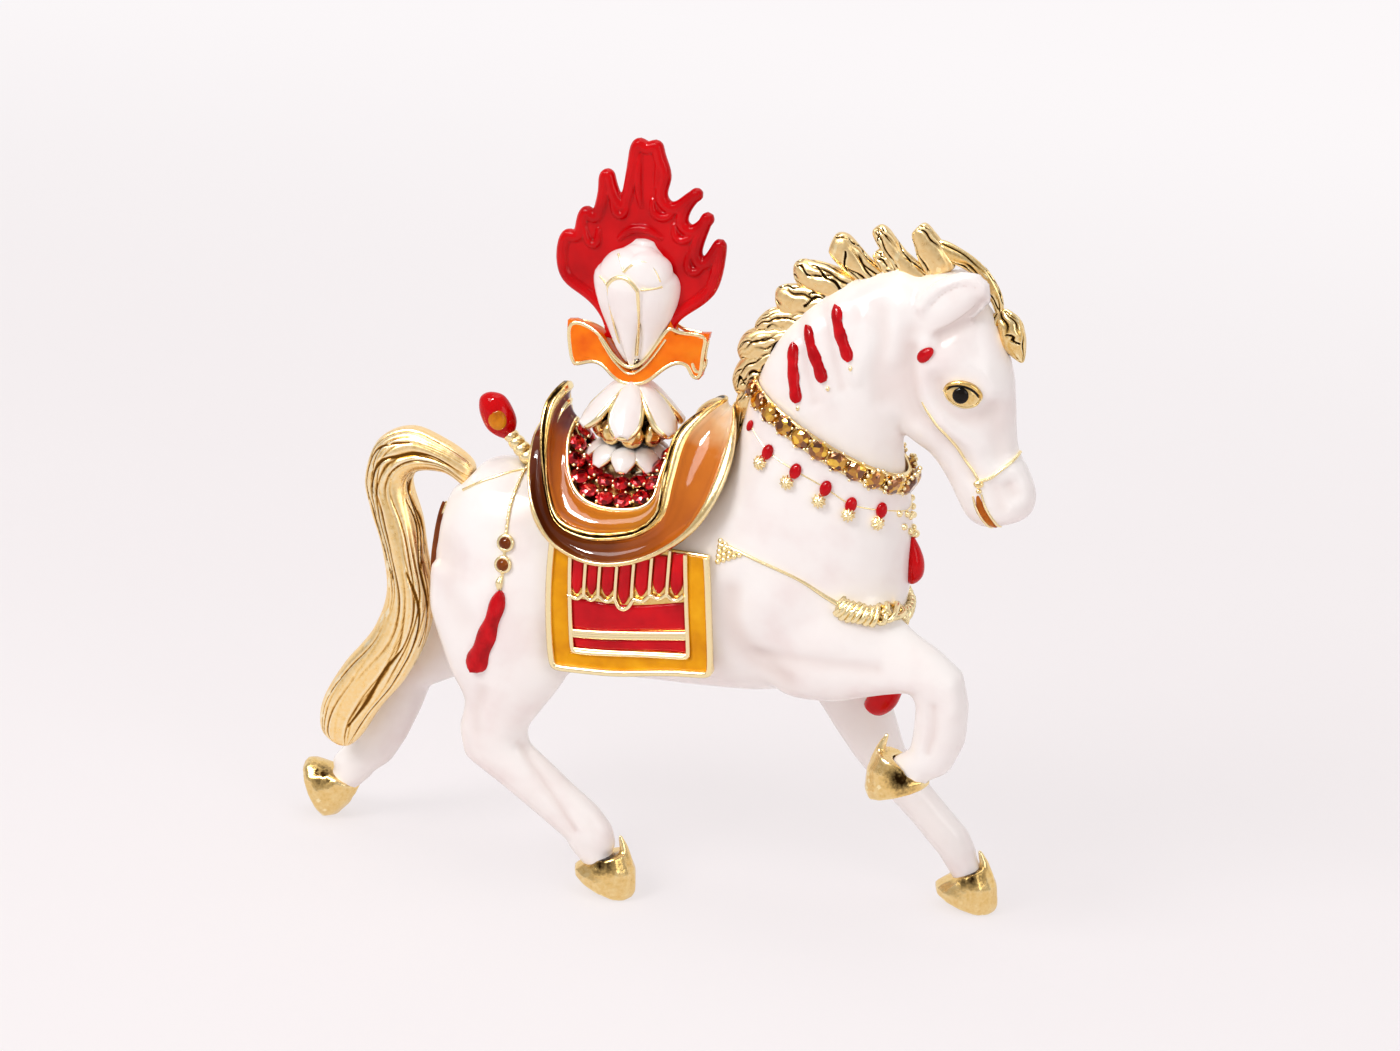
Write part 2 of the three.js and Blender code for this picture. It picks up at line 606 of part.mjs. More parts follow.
const clothTop = 46;
const clothOutline = [
  [-12.2, clothTop], [-12.3, 39.2], [-11.9, 33.5], [-11.5, 29.2], [-10.6, 28.8], [-2.9, 29.7],
  [7.9, 31.0], [8.3, 31.8], [7.4, 37.8], [6.8, clothTop],
];
const borderOutline = [
  [-11.6, 44.2], [-11.7, 39.2], [-11.3, 33.5], [-10.8, 29.5], [7.6, 31.8], [6.8, 37.8], [6.2, 45.6],
  [3.4, 45.6], [1.2, 44.2], [-3, 42.4], [-7.6, 42.0],
];
const panelOutline = [
  [-9.6, 42.8], [-9.4, 36.0], [-8.9, 31.7], [5.5, 33.3], [4.8, 37.8], [4.3, 45.6], [3.4, 45.6],
  [1.2, 44.2], [-3, 42.4], [-7.6, 42.0],
];
const panelOpening = [[-9.9, 46], [-9.7, 36.0], [-9.2, 31.4], [5.8, 33.0], [5.1, 37.8], [4.6, 46]];
const clothHeights = [28.7, 31, 34, 38, 42, 45.5, 48];

// The section of the cloth at a distance from the skin: up one side, over the back and down the other.
function clothSection(distance) {
  const side = clothHeights.map((z) => {
    const reach = [-12, -7, -2, 3, 8].map((x) => Math.abs(onSkin([x, -20, z], [x, 0, z]).point.y));
    return [Math.max(...reach) + distance, z];
  });
  const top = [[4.4 * broad, 50.8 + distance], [0, 51.3 + distance]];
  return [...side, ...top, ...[...side, top[0]].reverse().map(([y, z]) => [-y, z])];
}

function clothSolid(distance) {
  const settings = { depth: 40, bevelEnabled: false };
  const geometry = new THREE.ExtrudeGeometry(outlineOf(clothSection(distance)), settings);
  return solidOf(moved(geometry, [-20, 0, 0], [Math.PI / 2, Math.PI / 2, 0]));
}

const clothShell = (outer, inner) => without(clothSolid(outer), clothSolid(inner));
const clothLow = seatGap;
const clothHigh = seatGap + clothThickness;
const enamelLow = clothHigh + seatGap;
const enamelHigh = enamelLow + enamelThickness;
const gridLow = enamelHigh + seatGap;
const gridHigh = gridLow + enamelThickness;
const sideRange = (side) => (side < 0 ? [-20, 0] : [0, 20]);

function borderOf(side) {
  const [from, to] = sideRange(side);
  const opening = plate(panelOpening, from, to);
  return without(clothShell(enamelHigh, enamelLow).intersect(plate(borderOutline, from, to)), opening);
}

function panelOf(side) {
  return clothShell(enamelHigh, enamelLow).intersect(plate(panelOutline, ...sideRange(side)));
}

function gridOf(side) {
  const [from, to] = sideRange(side);
  const bar = (x1, z1, x2, z2, half) => plate(
    [[x1, z1 - half], [x2, z2 - half], [x2, z2 + half], [x1, z1 + half]], from, to,
  );
  const uprights = Array.from({ length: 7 }, (_, k) => {
    const x = -8.6 + 2.1 * k;
    const low = 39 + 0.1 * x;
    return plate([[x, low], [x + 0.7, low], [x + 0.5, clothTop], [x, clothTop]], from, to);
  });
  const bars = [
    bar(-9.5, 38.8, 4.6, 40.4, 0.5),
    bar(-9.1, 34.0, 5.0, 36.0, 0.5),
    bar(-8.9, 32.0, 5.3, 33.6, 0.3),
  ];
  const post = plate([[-9.8, 39], [-9.3, 31.4], [-8.4, 31.4], [-8.9, 39]], from, to);
  const grid = union(post, ...bars, ...uprights).intersect(plate(panelOutline, from, to));
  return clothShell(gridHigh, gridLow).intersect(grid);
}

// Finial: lotus, bead ring, drooping petals, ribbon, flame and bud

const flameOutline = [
  [-9.4, 67.0], [-10.2, 69.7], [-11.5, 71.2], [-13.8, 72.3], [-15.8, 74.0], [-16.4, 76.5],
  [-16.1, 78.8], [-15.2, 79.9], [-14.5, 79.6], [-14.3, 81.6], [-13.6, 82.6], [-12.6, 82.4],
  [-12.1, 80.6], [-11.9, 83.6], [-11.8, 86.5], [-11.0, 87.4], [-9.9, 86.8], [-9.6, 84.9], [-8.7, 82.8],
  [-8.5, 85.5], [-8.1, 88.4], [-8.0, 90.4], [-7.2, 91.4], [-5.9, 91.7], [-4.5, 91.4], [-4.1, 89.8],
  [-3.2, 87.4], [-3.5, 85.4], [-2.8, 84.3], [-1.3, 86.0], [-0.1, 86.7], [0.5, 86.1], [-0.1, 84.8],
  [-1.3, 83.1], [-0.7, 81.7], [0.9, 83.5], [1.7, 83.9], [2.1, 83.0], [1.6, 81.1], [0.5, 78.7],
  [1.0, 77.7], [1.9, 78.2], [2.8, 80.7], [3.5, 81.0], [4.0, 79.9], [3.9, 76.9], [3.2, 74.5],
  [1.9, 72.9], [-1.1, 70.9], [-2.2, 67.4],
];
const ribbonOutline = [
  [-14.5, 69.0], [-12.2, 68.9], [-10.1, 68.1], [-8.8, 66.3], [-6.4, 64.1], [-4.2, 66.0], [-2.0, 70.8],
  [-1.2, 69.3], [2.8, 69.9], [2.2, 67.9], [2.3, 64.5], [1.4, 64.0], [0.7, 64.6], [0.4, 65.6],
  [-0.8, 65.9], [-2.4, 64.8], [-4.0, 62.9], [-6.3, 62.3], [-8.1, 62.8], [-9.6, 64.3], [-11.1, 64.5],
  [-12.8, 63.6], [-13.7, 63.7], [-14.2, 66.2],
];
const budStations = [
  [-6.9, 64.8, -5.1, 64.9, 0.9],
  [-8.8, 68.8, -3.3, 69.0, 2.2],
  [-10.3, 72.2, -2.2, 71.6, 3.0],
  [-10.9, 75.2, -1.7, 74.8, 3.3],
  [-9.5, 77.6, -2.6, 77.4, 2.8],
  [-7.4, 79.2, -4.2, 79.1, 1.4],
];
const petalStations = [
  [0.9, 62.0, 0.9, 60.6, 0.7],
  [2.9, 62.3, 2.4, 61.0, 1.4],
  [4.7, 60.8, 4.0, 60.0, 2.0],
  [5.6, 58.4, 5.1, 58.1, 0.8],
];

function ringOfPetals(stations, count, first, hub) {
  const petal = geometryOf(loft(stations, { sides: 6 }));
  const petals = Array.from({ length: count }, (_, k) => {
    const angle = first + (2 * Math.PI * k) / count;
    return solidOf(moved(petal.clone(), [finialX, 0, 0], [0, 0, angle]));
  });
  return without(union(hub, ...petals), pinRoom);
}

function turned(profile, segments, flutes = 0, depth = 0) {
  const rings = profile.map(([radius, z]) => Array.from({ length: segments }, (_, k) => {
    const angle = (2 * Math.PI * k) / segments;
    const size = radius * (1 + depth * Math.cos(flutes * angle));
    return new THREE.Vector3(finialX + size * Math.cos(angle), size * Math.sin(angle), z);
  }));
  const pole = (z) => new THREE.Vector3(finialX, 0, z);
  return solidOf(capped(rings, pole(profile[0][1]), pole(profile[profile.length - 1][1])));
}

const pinLow = 44;
const pinHigh = 68;
const pinCore = rod([finialX, 0, pinLow], [finialX, 0, pinHigh], pinRadius, 12);
const pinRoom = rod([finialX, 0, pinLow - seatGap], [finialX, 0, pinHigh + seatGap], pinHole, 12);

// Collar: a band round the neck with a row of stones

const collarLow = [8.6, 63.3, 27.5, 54.5, 6.7];
const collarHigh = [9.0, 66.0, 27.1, 57.2, 6.4];

function collarCore() {
  const loop = (share, out, bump) => {
    const mix = collarLow.map((value, k) => value + (collarHigh[k] - value) * share);
    const half = mix[4] * broad;
    const middle = new THREE.Vector3((mix[0] + mix[2]) / 2, 0, (mix[1] + mix[3]) / 2);
    const reach = new THREE.Vector3(mix[0], 0, mix[1]).sub(middle);
    return Array.from({ length: 2 * collarStones }, (_, k) => {
      const angle = (Math.PI * k) / collarStones;
      const height = out + (k % 2 ? 0 : bump);
      const along = reach.clone().setLength(reach.length() + height).multiplyScalar(Math.cos(angle));
      return middle.clone().add(along).setY((half + height) * Math.sin(angle));
    });
  };
  return solidOf(ringed([
    loop(0, 0.1, 0), loop(0.05, 1, 0), loop(0.5, 0.9, 0.8), loop(0.95, 1, 0), loop(1, 0.1, 0),
  ]));
}

const looks = {
  gold: { color: 0xd9a93f, roughness: 0.25, metalness: 1 },
  white: { color: 0xf6f2ee, roughness: 0.2, metalness: 0 },
  red: { color: 0xc8101c, roughness: 0.12, metalness: 0 },
  yellow: { color: 0xe9a015, roughness: 0.15, metalness: 0 },
  amber: { color: 0xa8581a, roughness: 0.12, metalness: 0 },
  orange: { color: 0xf07a12, roughness: 0.12, metalness: 0 },
  ruby: { color: 0xb80c1a, roughness: 0.05, metalness: 0 },
  topaz: { color: 0x9a5410, roughness: 0.05, metalness: 0 },
  steel: { color: 0x9a9a9a, roughness: 0.35, metalness: 1 },
};
const statue = new THREE.Group();

function add(name, solid, look) {
  const mesh = new THREE.Mesh(geometryOf(solid), new THREE.MeshStandardMaterial(looks[look]));
  mesh.name = name;
  statue.add(mesh);
}

// Body castings

const tailCore = loft(tailStations, { sides: 12, flutes: 6, depth: 0.07, endDome: 0.5 });
const pegRadius = 1.1;
const tailSocket = rod([-28, 0, 48.6], [-22.6, 0, 46.4], pegRadius + seatGap);
const tailPeg = rod([-28, 0, 48.6], [-22.9, 0, 46.5], pegRadius);
const jewelFoot = [[-18.6, 0, 51.4], [-17.2, 0, 47.4], 0.9];
const torso = without(
  torsoCore, ...Object.values(spigots).map(socketOf), tailSocket, socketOf(jewelFoot), pinRoom,
);
const tailRoom = grown(tailCore);
const locks = maneLocks.map((lock) => loft(across(lock), { sides: 6 }));
const maneCore = union(loft(maneBase, { sides: 8 }), ...locks);
const headRoom = grown(headCore);

add('torso', torso, 'white');
add('head', union(without(headCore, torsoRoom), spigotOf(spigots.head)), 'white');
for (const [name, core] of Object.entries(legCores)) {
  add(name, union(without(core, torsoRoom, tailRoom), spigotOf(spigots[name])), 'white');
}
for (const [name, placing] of Object.entries(hooves)) {
  add(name, without(hoofCore(placing), grown(legCores[name.replace('hoof', 'leg')])), 'gold');
}
add('tail', union(without(tailCore, torsoRoom), tailPeg), 'gold');

const maneRoom = grown(maneCore);
const collar = without(collarCore(), torsoRoom, headRoom, maneRoom);
add('mane', without(maneCore, torsoRoom, headRoom), 'gold');
add('forelock', without(
  union(loft(forelockStations, { sides: 5 }), loft(forelockTuft, { sides: 5 })), headRoom, maneRoom,
), 'gold');
add('collar', collar, 'topaz');

// Saddle and cloth

const clothRoom = clothSolid(clothHigh + seatGap).intersect(
  box([clothOutline[1][0] - seatGap, -20, 20], [clothOutline[7][0] + seatGap, 20, clothTop + seatGap]),
);
const sides = { right: -1, left: 1 };
for (const [name, side] of Object.entries(sides)) {
  const flap = clothShell(clothHigh, clothLow).intersect(plate(clothOutline, ...sideRange(side)));
  add(`cloth_${name}`, flap, 'gold');
  add(`cloth_border_${name}`, borderOf(side), 'yellow');
  add(`cloth_panel_${name}`, panelOf(side), 'red');
  add(`cloth_grid_${name}`, gridOf(side), 'gold');
}
const saddle = without(saddleCore(), union(torsoRoom, clothRoom), pinRoom);
add('saddle', saddle, 'gold');
add('skirt_enamel', enamelBand(rimLoop, ridgeLoop, 0.29, 0.63, -0.15, 0.18), 'amber');
add('seat_band_enamel', enamelBand(ridgeLoop, seatLoop, 0.42, 0.73, 0, 0.33), 'orange');
add('pave', without(paveCore(), pinRoom), 'ruby');

// Finial

add('finial_pin', pinCore, 'steel');
add('lotus_lower', without(
  turned([[2.8, 53.7], [3.8, 54.3], [3.8, 54.9], [2.4, 55.2]], 32, 8, 0.12), pinRoom,
), 'white');
add('bead_ring', without(
  turned([[2.4, 55.5], [4.3, 56.0], [4.8, 57.1], [4.1, 58.1], [2.2, 58.5]], 24, 12, 0.05), pinRoom,
), 'gold');
const petalHub = turned([[1.6, 60.0], [2.0, 60.8], [1.6, 61.9]], 12);
add('lotus_upper', ringOfPetals(petalStations, 6, -1.4, petalHub), 'white');
const bud = loft(budStations, { sides: 16, flutes: 4, depth: 0.04, startDome: 0.4, endDome: 0.9 });
const budRoom = grown(bud);
const flame = without(plate(flameOutline, -0.9, 0.9), budRoom);
const flameRoom = plate(flameOutline, -0.9 - seatGap, 0.9 + seatGap);
add('bud', without(bud, pinRoom), 'white');
add('flame', without(flame, pinRoom), 'red');
add('ribbon', without(plate(ribbonOutline, -1.7, 1.7), budRoom, flameRoom, pinRoom), 'orange');

// Harness and trimmings

const stripePaths = [
  [[13.7, 3.5, 70.9], [14.0, 4.5, 68.7], [14.6, 5.1, 66.3], [15.0, 5.5, 64.9]],
  [[15.0, 3.1, 73.4], [15.9, 4.3, 71.3], [17.1, 5.0, 69.3], [17.8, 5.2, 67.8]],
  [[18.2, 3.1, 76.0], [18.9, 4.1, 74.0], [19.9, 4.6, 72.0], [20.5, 4.8, 70.6]],
];
const dropSpots = [
  [9.7, 4.5, 60.5], [12.0, 6.5, 58.1], [15.4, 7.4, 56.7], [19.2, 7.3, 55.1], [22.3, 6.8, 53.8],
  [25.4, 5.1, 52.8], [27.6, 2.6, 52.0], [28.4, 0, 51.7],
];
const breastPath = [
  [8.0, 7.9, 47.0], [9.6, 8.1, 47.0], [13.3, 8.3, 46.0], [17.5, 8.1, 45.0], [20.0, 7.7, 44.1],
];
const ropePath = [
  [21.1, 7.6, 43.6], [22.8, 7.2, 42.9], [24.5, 6.8, 42.2], [26.0, 5.9, 41.6], [27.4, 4.4, 41.1],
  [28.6, 2.3, 40.7], [29.2, 0, 40.5],
];
const chainPath = [
  [-18.0, 8.2, 38.2], [-18.1, 8.1, 39.4], [-18.1, 8.0, 40.5], [-18.1, 7.9, 41.7], [-18.1, 7.7, 43.0],
  [-18.1, 7.4, 44.3], [-18.1, 6.6, 46.6], [-18.0, 4.8, 48.9], [-18.0, 2.2, 50.6], [-18.0, 0, 51.0],
];
const chainWidths = [0.7, 0.7, 2.2, 0.7, 2.2, 0.7, 0.7, 0.7, 0.7, 0.7];
const crupperPath = [[-24.4, 3.8, 47.2], [-22.2, 4.4, 48.6], [-20.2, 3.7, 49.7], [-18.2, 2.6, 50.4]];
const tasselPath = [[-18.2, 8.7, 37.0], [-18.8, 9.1, 34.1], [-19.7, 9.3, 30.5], [-20.8, 9.2, 27.3]];
const nosePath = [[36.2, 2.6, 57.8], [37.9, 2.5, 58.9], [39.4, 1.9, 60.2], [40.6, 0, 61.4]];
const cheekPath = [[29.2, 4.2, 66.3], [31.9, 3.7, 63.3], [34.3, 2.8, 60.0], [36.2, 2.6, 57.8]];
const mouthPath = [[36.4, 2.5, 55.9], [37.3, 2.5, 54.4], [38.2, 2.0, 52.8], [38.4, 0, 52.0]];
const dropPath = [48.8, 47.3, 45.8, 44.4, 43.2].map((z) => [30, 0, z]);
const jewelStations = [
  [-22.3, 52.8, -20.6, 53.8, 0.9],
  [-24.1, 54.5, -20.1, 55.6, 1.6],
  [-24.8, 56.5, -21.2, 57.5, 1.4],
  [-24.4, 57.9, -23.0, 58.4, 0.6],
];
const chestTasselStations = [
  [30.4, 38.6, 29.2, 38.6, 0.7],
  [30.7, 34.6, 28.4, 34.2, 1.2],
  [29.3, 29.7, 26.5, 31.3, 1.5],
  [28.0, 26.9, 24.6, 28.8, 1.8],
  [26.8, 26.0, 24.6, 27.3, 1.2],
];

for (const [name, side] of Object.entries(sides)) {
  stripePaths.forEach((path, k) => {
    add(`neck_stripe_${k + 1}_${name}`, strap(toSide(side, path), fixed(20, 0, 66), 1.1, 0.5), 'red');
  });
  const eye = bead(broadened([33.6, side * 4.3, 68.3]), [33.7, 0, 68.3], 2.0, 1.5, 0.9, [10, 6]);
  add(`eye_${name}`, eye, 'gold');
  const stud = bead(broadened([29, side * 4.4, 72.2]), [29, 0, 72.2], 0.8, 0.8, 1.1, [8, 5]);
  add(`cheek_stud_${name}`, stud, 'red');
  const hipTassel = strap(toSide(side, tasselPath), level(-18), [1.3, 1.9, 2.4, 1.5], 1.2);
  add(`hip_tassel_${name}`, hipTassel, 'red');
  const breastStrap = strap(toSide(side, breastPath), level(14), [2.6, 0.9, 0.7, 0.7, 0.7]);
  add(`breast_strap_${name}`, breastStrap, 'gold');
}
const garland = beaded(roundFront(dropSpots), level(17), 0.5, 3.4, 1.2);
add('chest_garland', garland, 'gold');
const ropeWidths = roundFront(ropePath).map((_, k) => (k % 2 ? 3.0 : 2.2));
const rope = strap(roundFront(ropePath), level(16), ropeWidths, 1.4);
add('breast_rope', rope, 'gold');
add('chest_drop', strap(dropPath, level(18), [0.9, 2.0, 2.6, 2.2, 0.9], 1.3), 'red');
const legRoom = union(grown(legCores.leg_fore_right), grown(legCores.leg_fore_left));
const chestTassel = loft(chestTasselStations, { sides: 10, endDome: 0.6 });
add('chest_tassel', without(chestTassel, legRoom, grown(rope)), 'red');
const bridle = union(
  strap(roundFront(nosePath), fixed(35, 0, 59), 0.7, 0.5),
  ...[-1, 1].map((side) => strap(toSide(side, cheekPath), fixed(31, 0, 64), 0.6, 0.5)),
  ...[-1, 1].map((side) => (
    bead(broadened([36.2, side * 2.6, 57.8]), [35, 0, 59], 0.8, 0.8, 0.9, [5, 3])
  )),
);
add('bridle', bridle, 'gold');
add('mouth_inlay', strap(roundFront(mouthPath), fixed(37, 0, 56), 0.9, 0.4), 'amber');
const bothChainWidths = [...chainWidths, ...chainWidths.slice(0, -1).reverse()];
const harness = union(
  strap(roundFront(chainPath), fixed(-18, 0, 38), bothChainWidths, 0.9),
  ...[-1, 1].map((side) => strap(toSide(side, crupperPath), fixed(-20, 0, 40), 0.5, 0.5)),
  rod([-17.3, 0, 47.7], [-18.7, 0, 51.7], jewelFoot[2] - 0.1, 8),
  rod([-18.7, 0, 51.4], [-21.0, 0, 53.4], 1.1, 8),
);
const jewel = loft(jewelStations, { sides: 10, startDome: 0.2, endDome: 0.4 });
add('hip_harness', without(harness, grown(jewel)), 'gold');
add('croup_jewel', jewel, 'red');
const pendantPath = [[-30, -2.2, 45.4], [-30, -2.2, 42], [-30, -2.0, 38.6], [-30, -1.8, 35.2]];
const pendant = strap(pendantPath.map(broadened), level(-18), [1.0, 1.9, 1.7, 0.6], 0.6);
add('rump_pendant', without(pendant, tailRoom), 'amber');

// The origin is the middle of the bounding box's underside.

const bounds = new THREE.Box3().setFromObject(statue);
const middle = bounds.getCenter(new THREE.Vector3());
statue.position.set(-middle.x, -middle.y, -bounds.min.z);
const part = new THREE.Group();
part.add(statue);

export default part;
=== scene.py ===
# %% [markdown]
# A small statuette, dressed piece by piece. The construction comes ready as a frame of plain solids in
# metres. Each cell takes one piece of the real object, models the form that a hand would see and feel, and
# gives it the finish of the real material. The frame is loaded first.

import json
import math
import random

import bpy
import numpy as np
from mathutils import Matrix, Vector
from mathutils.bvhtree import BVHTree

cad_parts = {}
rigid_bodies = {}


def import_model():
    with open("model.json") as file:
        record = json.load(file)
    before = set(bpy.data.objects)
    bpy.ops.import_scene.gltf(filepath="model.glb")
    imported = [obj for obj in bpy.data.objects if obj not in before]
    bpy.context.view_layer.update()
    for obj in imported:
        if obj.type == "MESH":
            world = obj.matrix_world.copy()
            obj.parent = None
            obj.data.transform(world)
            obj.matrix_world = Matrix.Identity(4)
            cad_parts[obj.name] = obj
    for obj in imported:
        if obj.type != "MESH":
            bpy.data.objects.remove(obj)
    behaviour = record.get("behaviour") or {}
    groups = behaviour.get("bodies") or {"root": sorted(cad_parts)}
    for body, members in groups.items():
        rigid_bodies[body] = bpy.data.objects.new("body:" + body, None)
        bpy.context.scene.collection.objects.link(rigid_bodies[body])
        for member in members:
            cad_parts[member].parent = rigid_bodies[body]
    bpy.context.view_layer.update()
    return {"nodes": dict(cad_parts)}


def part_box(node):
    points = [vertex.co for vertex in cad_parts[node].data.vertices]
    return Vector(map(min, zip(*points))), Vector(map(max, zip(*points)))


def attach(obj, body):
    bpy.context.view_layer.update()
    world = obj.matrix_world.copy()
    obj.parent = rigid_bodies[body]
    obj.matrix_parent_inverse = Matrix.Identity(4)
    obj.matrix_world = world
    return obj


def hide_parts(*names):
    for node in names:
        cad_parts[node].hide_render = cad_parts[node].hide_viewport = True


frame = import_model()
mm = 0.001

# %% [markdown]
# Places on the statuette are easiest to read in whole millimetres, counted from the finial's pin, as a
# sculptor's drawing would have them: x toward the head, y toward the horse's left, z up from the shelf. The
# pin's own box says where that drawing lies in the frame, so one function turns a drawn place into metres.

# %% Places
pin_low, pin_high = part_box("finial_pin")
pin_x = -6
drawing_origin = Vector(((pin_low.x + pin_high.x) / 2 - pin_x * mm, (pin_low.y + pin_high.y) / 2, 0))


def at(x, y, z):
    """A place in the drawing, in millimetres, as a vector in metres."""
    return drawing_origin + Vector((x, y, z)) * mm


def drawn(place):
    """A place in metres as millimetres of the drawing."""
    return (Vector(place) - drawing_origin) / mm


print("the drawing starts at", tuple(round(c, 5) for c in drawing_origin))

# %% [markdown]
# An operator acts on all that is selected, so two helpers clear the selection and pick pieces. A third
# opens a piece in edit mode, takes all of it and runs the steps that it is given.

# %% Picking pieces
def deselect():
    if bpy.context.mode != "OBJECT":
        bpy.ops.object.mode_set(mode="OBJECT")
    bpy.ops.object.select_all(action="DESELECT")


def pick(*pieces):
    """Selects these pieces alone and makes the first one active."""
    deselect()
    for piece in pieces:
        piece.select_set(True)
    bpy.context.view_layer.objects.active = pieces[0]


def edit_all(piece, *steps):
    """Runs steps on the whole piece in edit mode. A step is an operator and its settings."""
    pick(piece)
    bpy.ops.object.mode_set(mode="EDIT")
    bpy.ops.mesh.select_all(action="SELECT")
    for operator, settings in steps:
        operator(**settings)
    bpy.ops.object.mode_set(mode="OBJECT")
    return piece


deselect()
print("selected:", sum(thing.select_get() for thing in bpy.context.view_layer.objects))

# %% [markdown]
# A modifier is applied at once, so each step leaves a plain mesh. Merging doubles closes seams and poles, and
# then all faces are turned outwards. Fusing makes one skin of overlapping forms by a voxel remesh, and a few
# rounds of smoothing take off its grain.

# %% Merging, joining and fusing
merge_distance = 0.001


def apply_modifier(piece, kind, **settings):
    pick(piece)
    modifier = piece.modifiers.new(kind.lower(), kind)
    for key, value in settings.items():
        setattr(modifier, key, value)
    bpy.ops.object.modifier_apply(modifier=modifier.name)
    return piece


def tidy_mesh(piece, doubles=merge_distance):
    """Merges doubles, given in millimetres, and turns all faces outwards."""
    return edit_all(piece, (bpy.ops.mesh.remove_doubles, {"threshold": doubles * mm}),
                    (bpy.ops.mesh.normals_make_consistent, {"inside": False}))


def add_object(name, data):
    made = bpy.data.objects.new(name, data)
    bpy.context.scene.collection.objects.link(made)
    return made


def joined(name, pieces):
    pick(*pieces)
    if len(pieces) > 1:
        bpy.ops.object.join()
    made = bpy.context.view_layer.objects.active
    made.name = name
    return made


def copy_of(name, node_name):
    """A merged copy of one of the frame's solids."""
    copy = add_object(name, frame["nodes"][node_name].data.copy())
    copy.data.materials.clear()
    return edit_all(copy, (bpy.ops.mesh.remove_doubles, {"threshold": merge_distance * mm}))


def fused(piece, voxel, rounds):
    """Fuses what overlaps, with voxels of this size in millimetres, and softens it."""
    apply_modifier(piece, "REMESH", mode="VOXEL", voxel_size=voxel * mm)
    return apply_modifier(piece, "SMOOTH", factor=0.5, iterations=rounds)


print("doubles closer than", merge_distance, "mm are merged")

# %% [markdown]
# A finished piece has its place applied, is shaded, and gets its material. It then rides with the frame and
# takes the place of the plain solids that it stands for. Castings are shaded smooth and cut stones flat, and
# a piece with a hard edge is smooth up to the angle of that edge.

# %% Finishing a piece
def finish(piece, material, slot_name, *nodes, angle=None):
    """Sets a finished piece on the frame; an angle of 0 shades it flat."""
    pick(piece)
    bpy.ops.object.transform_apply(location=True, rotation=True, scale=True)
    if angle is None:
        bpy.ops.object.shade_smooth()
    elif angle == 0:
        bpy.ops.object.shade_flat()
    else:
        bpy.ops.object.shade_smooth_by_angle(angle=math.radians(angle))
    piece.data.materials.clear()
    piece.data.materials.append(material)
    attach(piece, "root")
    if nodes:
        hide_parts(*nodes)
    print(piece.name, len(piece.data.polygons), "faces")
    return piece


sides = (("right", 1), ("left", -1))
print("each pair is made for the", " and the ".join(side_name for side_name, side in sides))

# %% [markdown]
# A sheet is a grid whose points are laid on a surface that a small function describes: saddles, ribbons and
# petals start so. Its given stations are joined by one smooth line that passes through all of them, so a
# soft curve needs only a few places.

# %% Smooth lines and sheets
def smooth(values, t):
    """A smooth line through values, at t from 0 to 1. Values are numbers or tuples of numbers."""
    spot = min(max(t, 0), 1) * (len(values) - 1)
    i = min(int(spot), len(values) - 2)
    f = spot - i
    p0, p1, p2 = values[max(i - 1, 0)], values[i], values[i + 1]
    p3 = values[min(i + 2, len(values) - 1)]
    if isinstance(p1, (int, float)):
        p0, p1, p2, p3 = (p0,), (p1,), (p2,), (p3,)
    mixed = tuple(
        0.5 * (2 * b + (c - a) * f + (2 * a - 5 * b + 4 * c - d) * f * f + (3 * b - a - 3 * c + d) * f**3)
        for a, b, c, d in zip(p0, p1, p2, p3)
    )
    return mixed if len(mixed) > 1 else mixed[0]


def sheet(name, columns, rows, place):
    """A grid whose points lie at place(u, v), in drawing millimetres, with u and v from 0 to 1."""
    deselect()
    bpy.ops.mesh.primitive_grid_add(x_subdivisions=columns, y_subdivisions=rows, size=2)
    piece = bpy.context.object
    piece.name = name
    for vertex in piece.data.vertices:
        u, v = (vertex.co.x + 1) / 2, (vertex.co.y + 1) / 2
        vertex.co = at(*place(u, v))
    return piece


print("halfway from 0 over 1 to 0:", smooth([0, 1, 0], 0.5))

# %% [markdown]
# A cord is a curve with a round section that may swell and taper: wire, rims and enamelled lines. It is
# drawn as a curve, because its thickness can then be set place by place, and turned into a mesh at once. A
# ball is a sphere stretched to size and leaned to the surface that it sits on.

# %% Cords and balls
def as_mesh(name, curve):
    """Puts a curve into the scene and turns it into a mesh."""
    pick(add_object(name, curve))
    bpy.ops.object.convert(target="MESH")
    return bpy.context.view_layer.objects.active


def cord(name, points, radii, roundness=2, per_span=4, closed=False):
    """A round cord through points in metres, with a radius in millimetres at each point."""
    curve = bpy.data.curves.new(name, "CURVE")
    curve.dimensions = "3D"
    curve.bevel_depth = mm
    curve.bevel_resolution = roundness
    curve.use_fill_caps = True
    curve.resolution_u = per_span
    spline = curve.splines.new("NURBS")
    spline.points.add(len(points) - 1)
    radii = radii if isinstance(radii, (list, tuple)) else [radii] * len(points)
    for target, point, radius in zip(spline.points, points, radii):
        target.co = (*point, 1)
        target.radius = radius
    spline.order_u = min(4, len(points))
    spline.use_endpoint_u = not closed
    spline.use_cyclic_u = closed
    return as_mesh(name, curve)


def turned_to(normal, along=(0, 0, 1)):
    """A rotation whose z is the normal and whose x leans along the given direction."""
    z = Vector(normal).normalized()
    y = z.cross(Vector(along)).normalized()
    return Matrix((y.cross(z), y, z)).transposed()


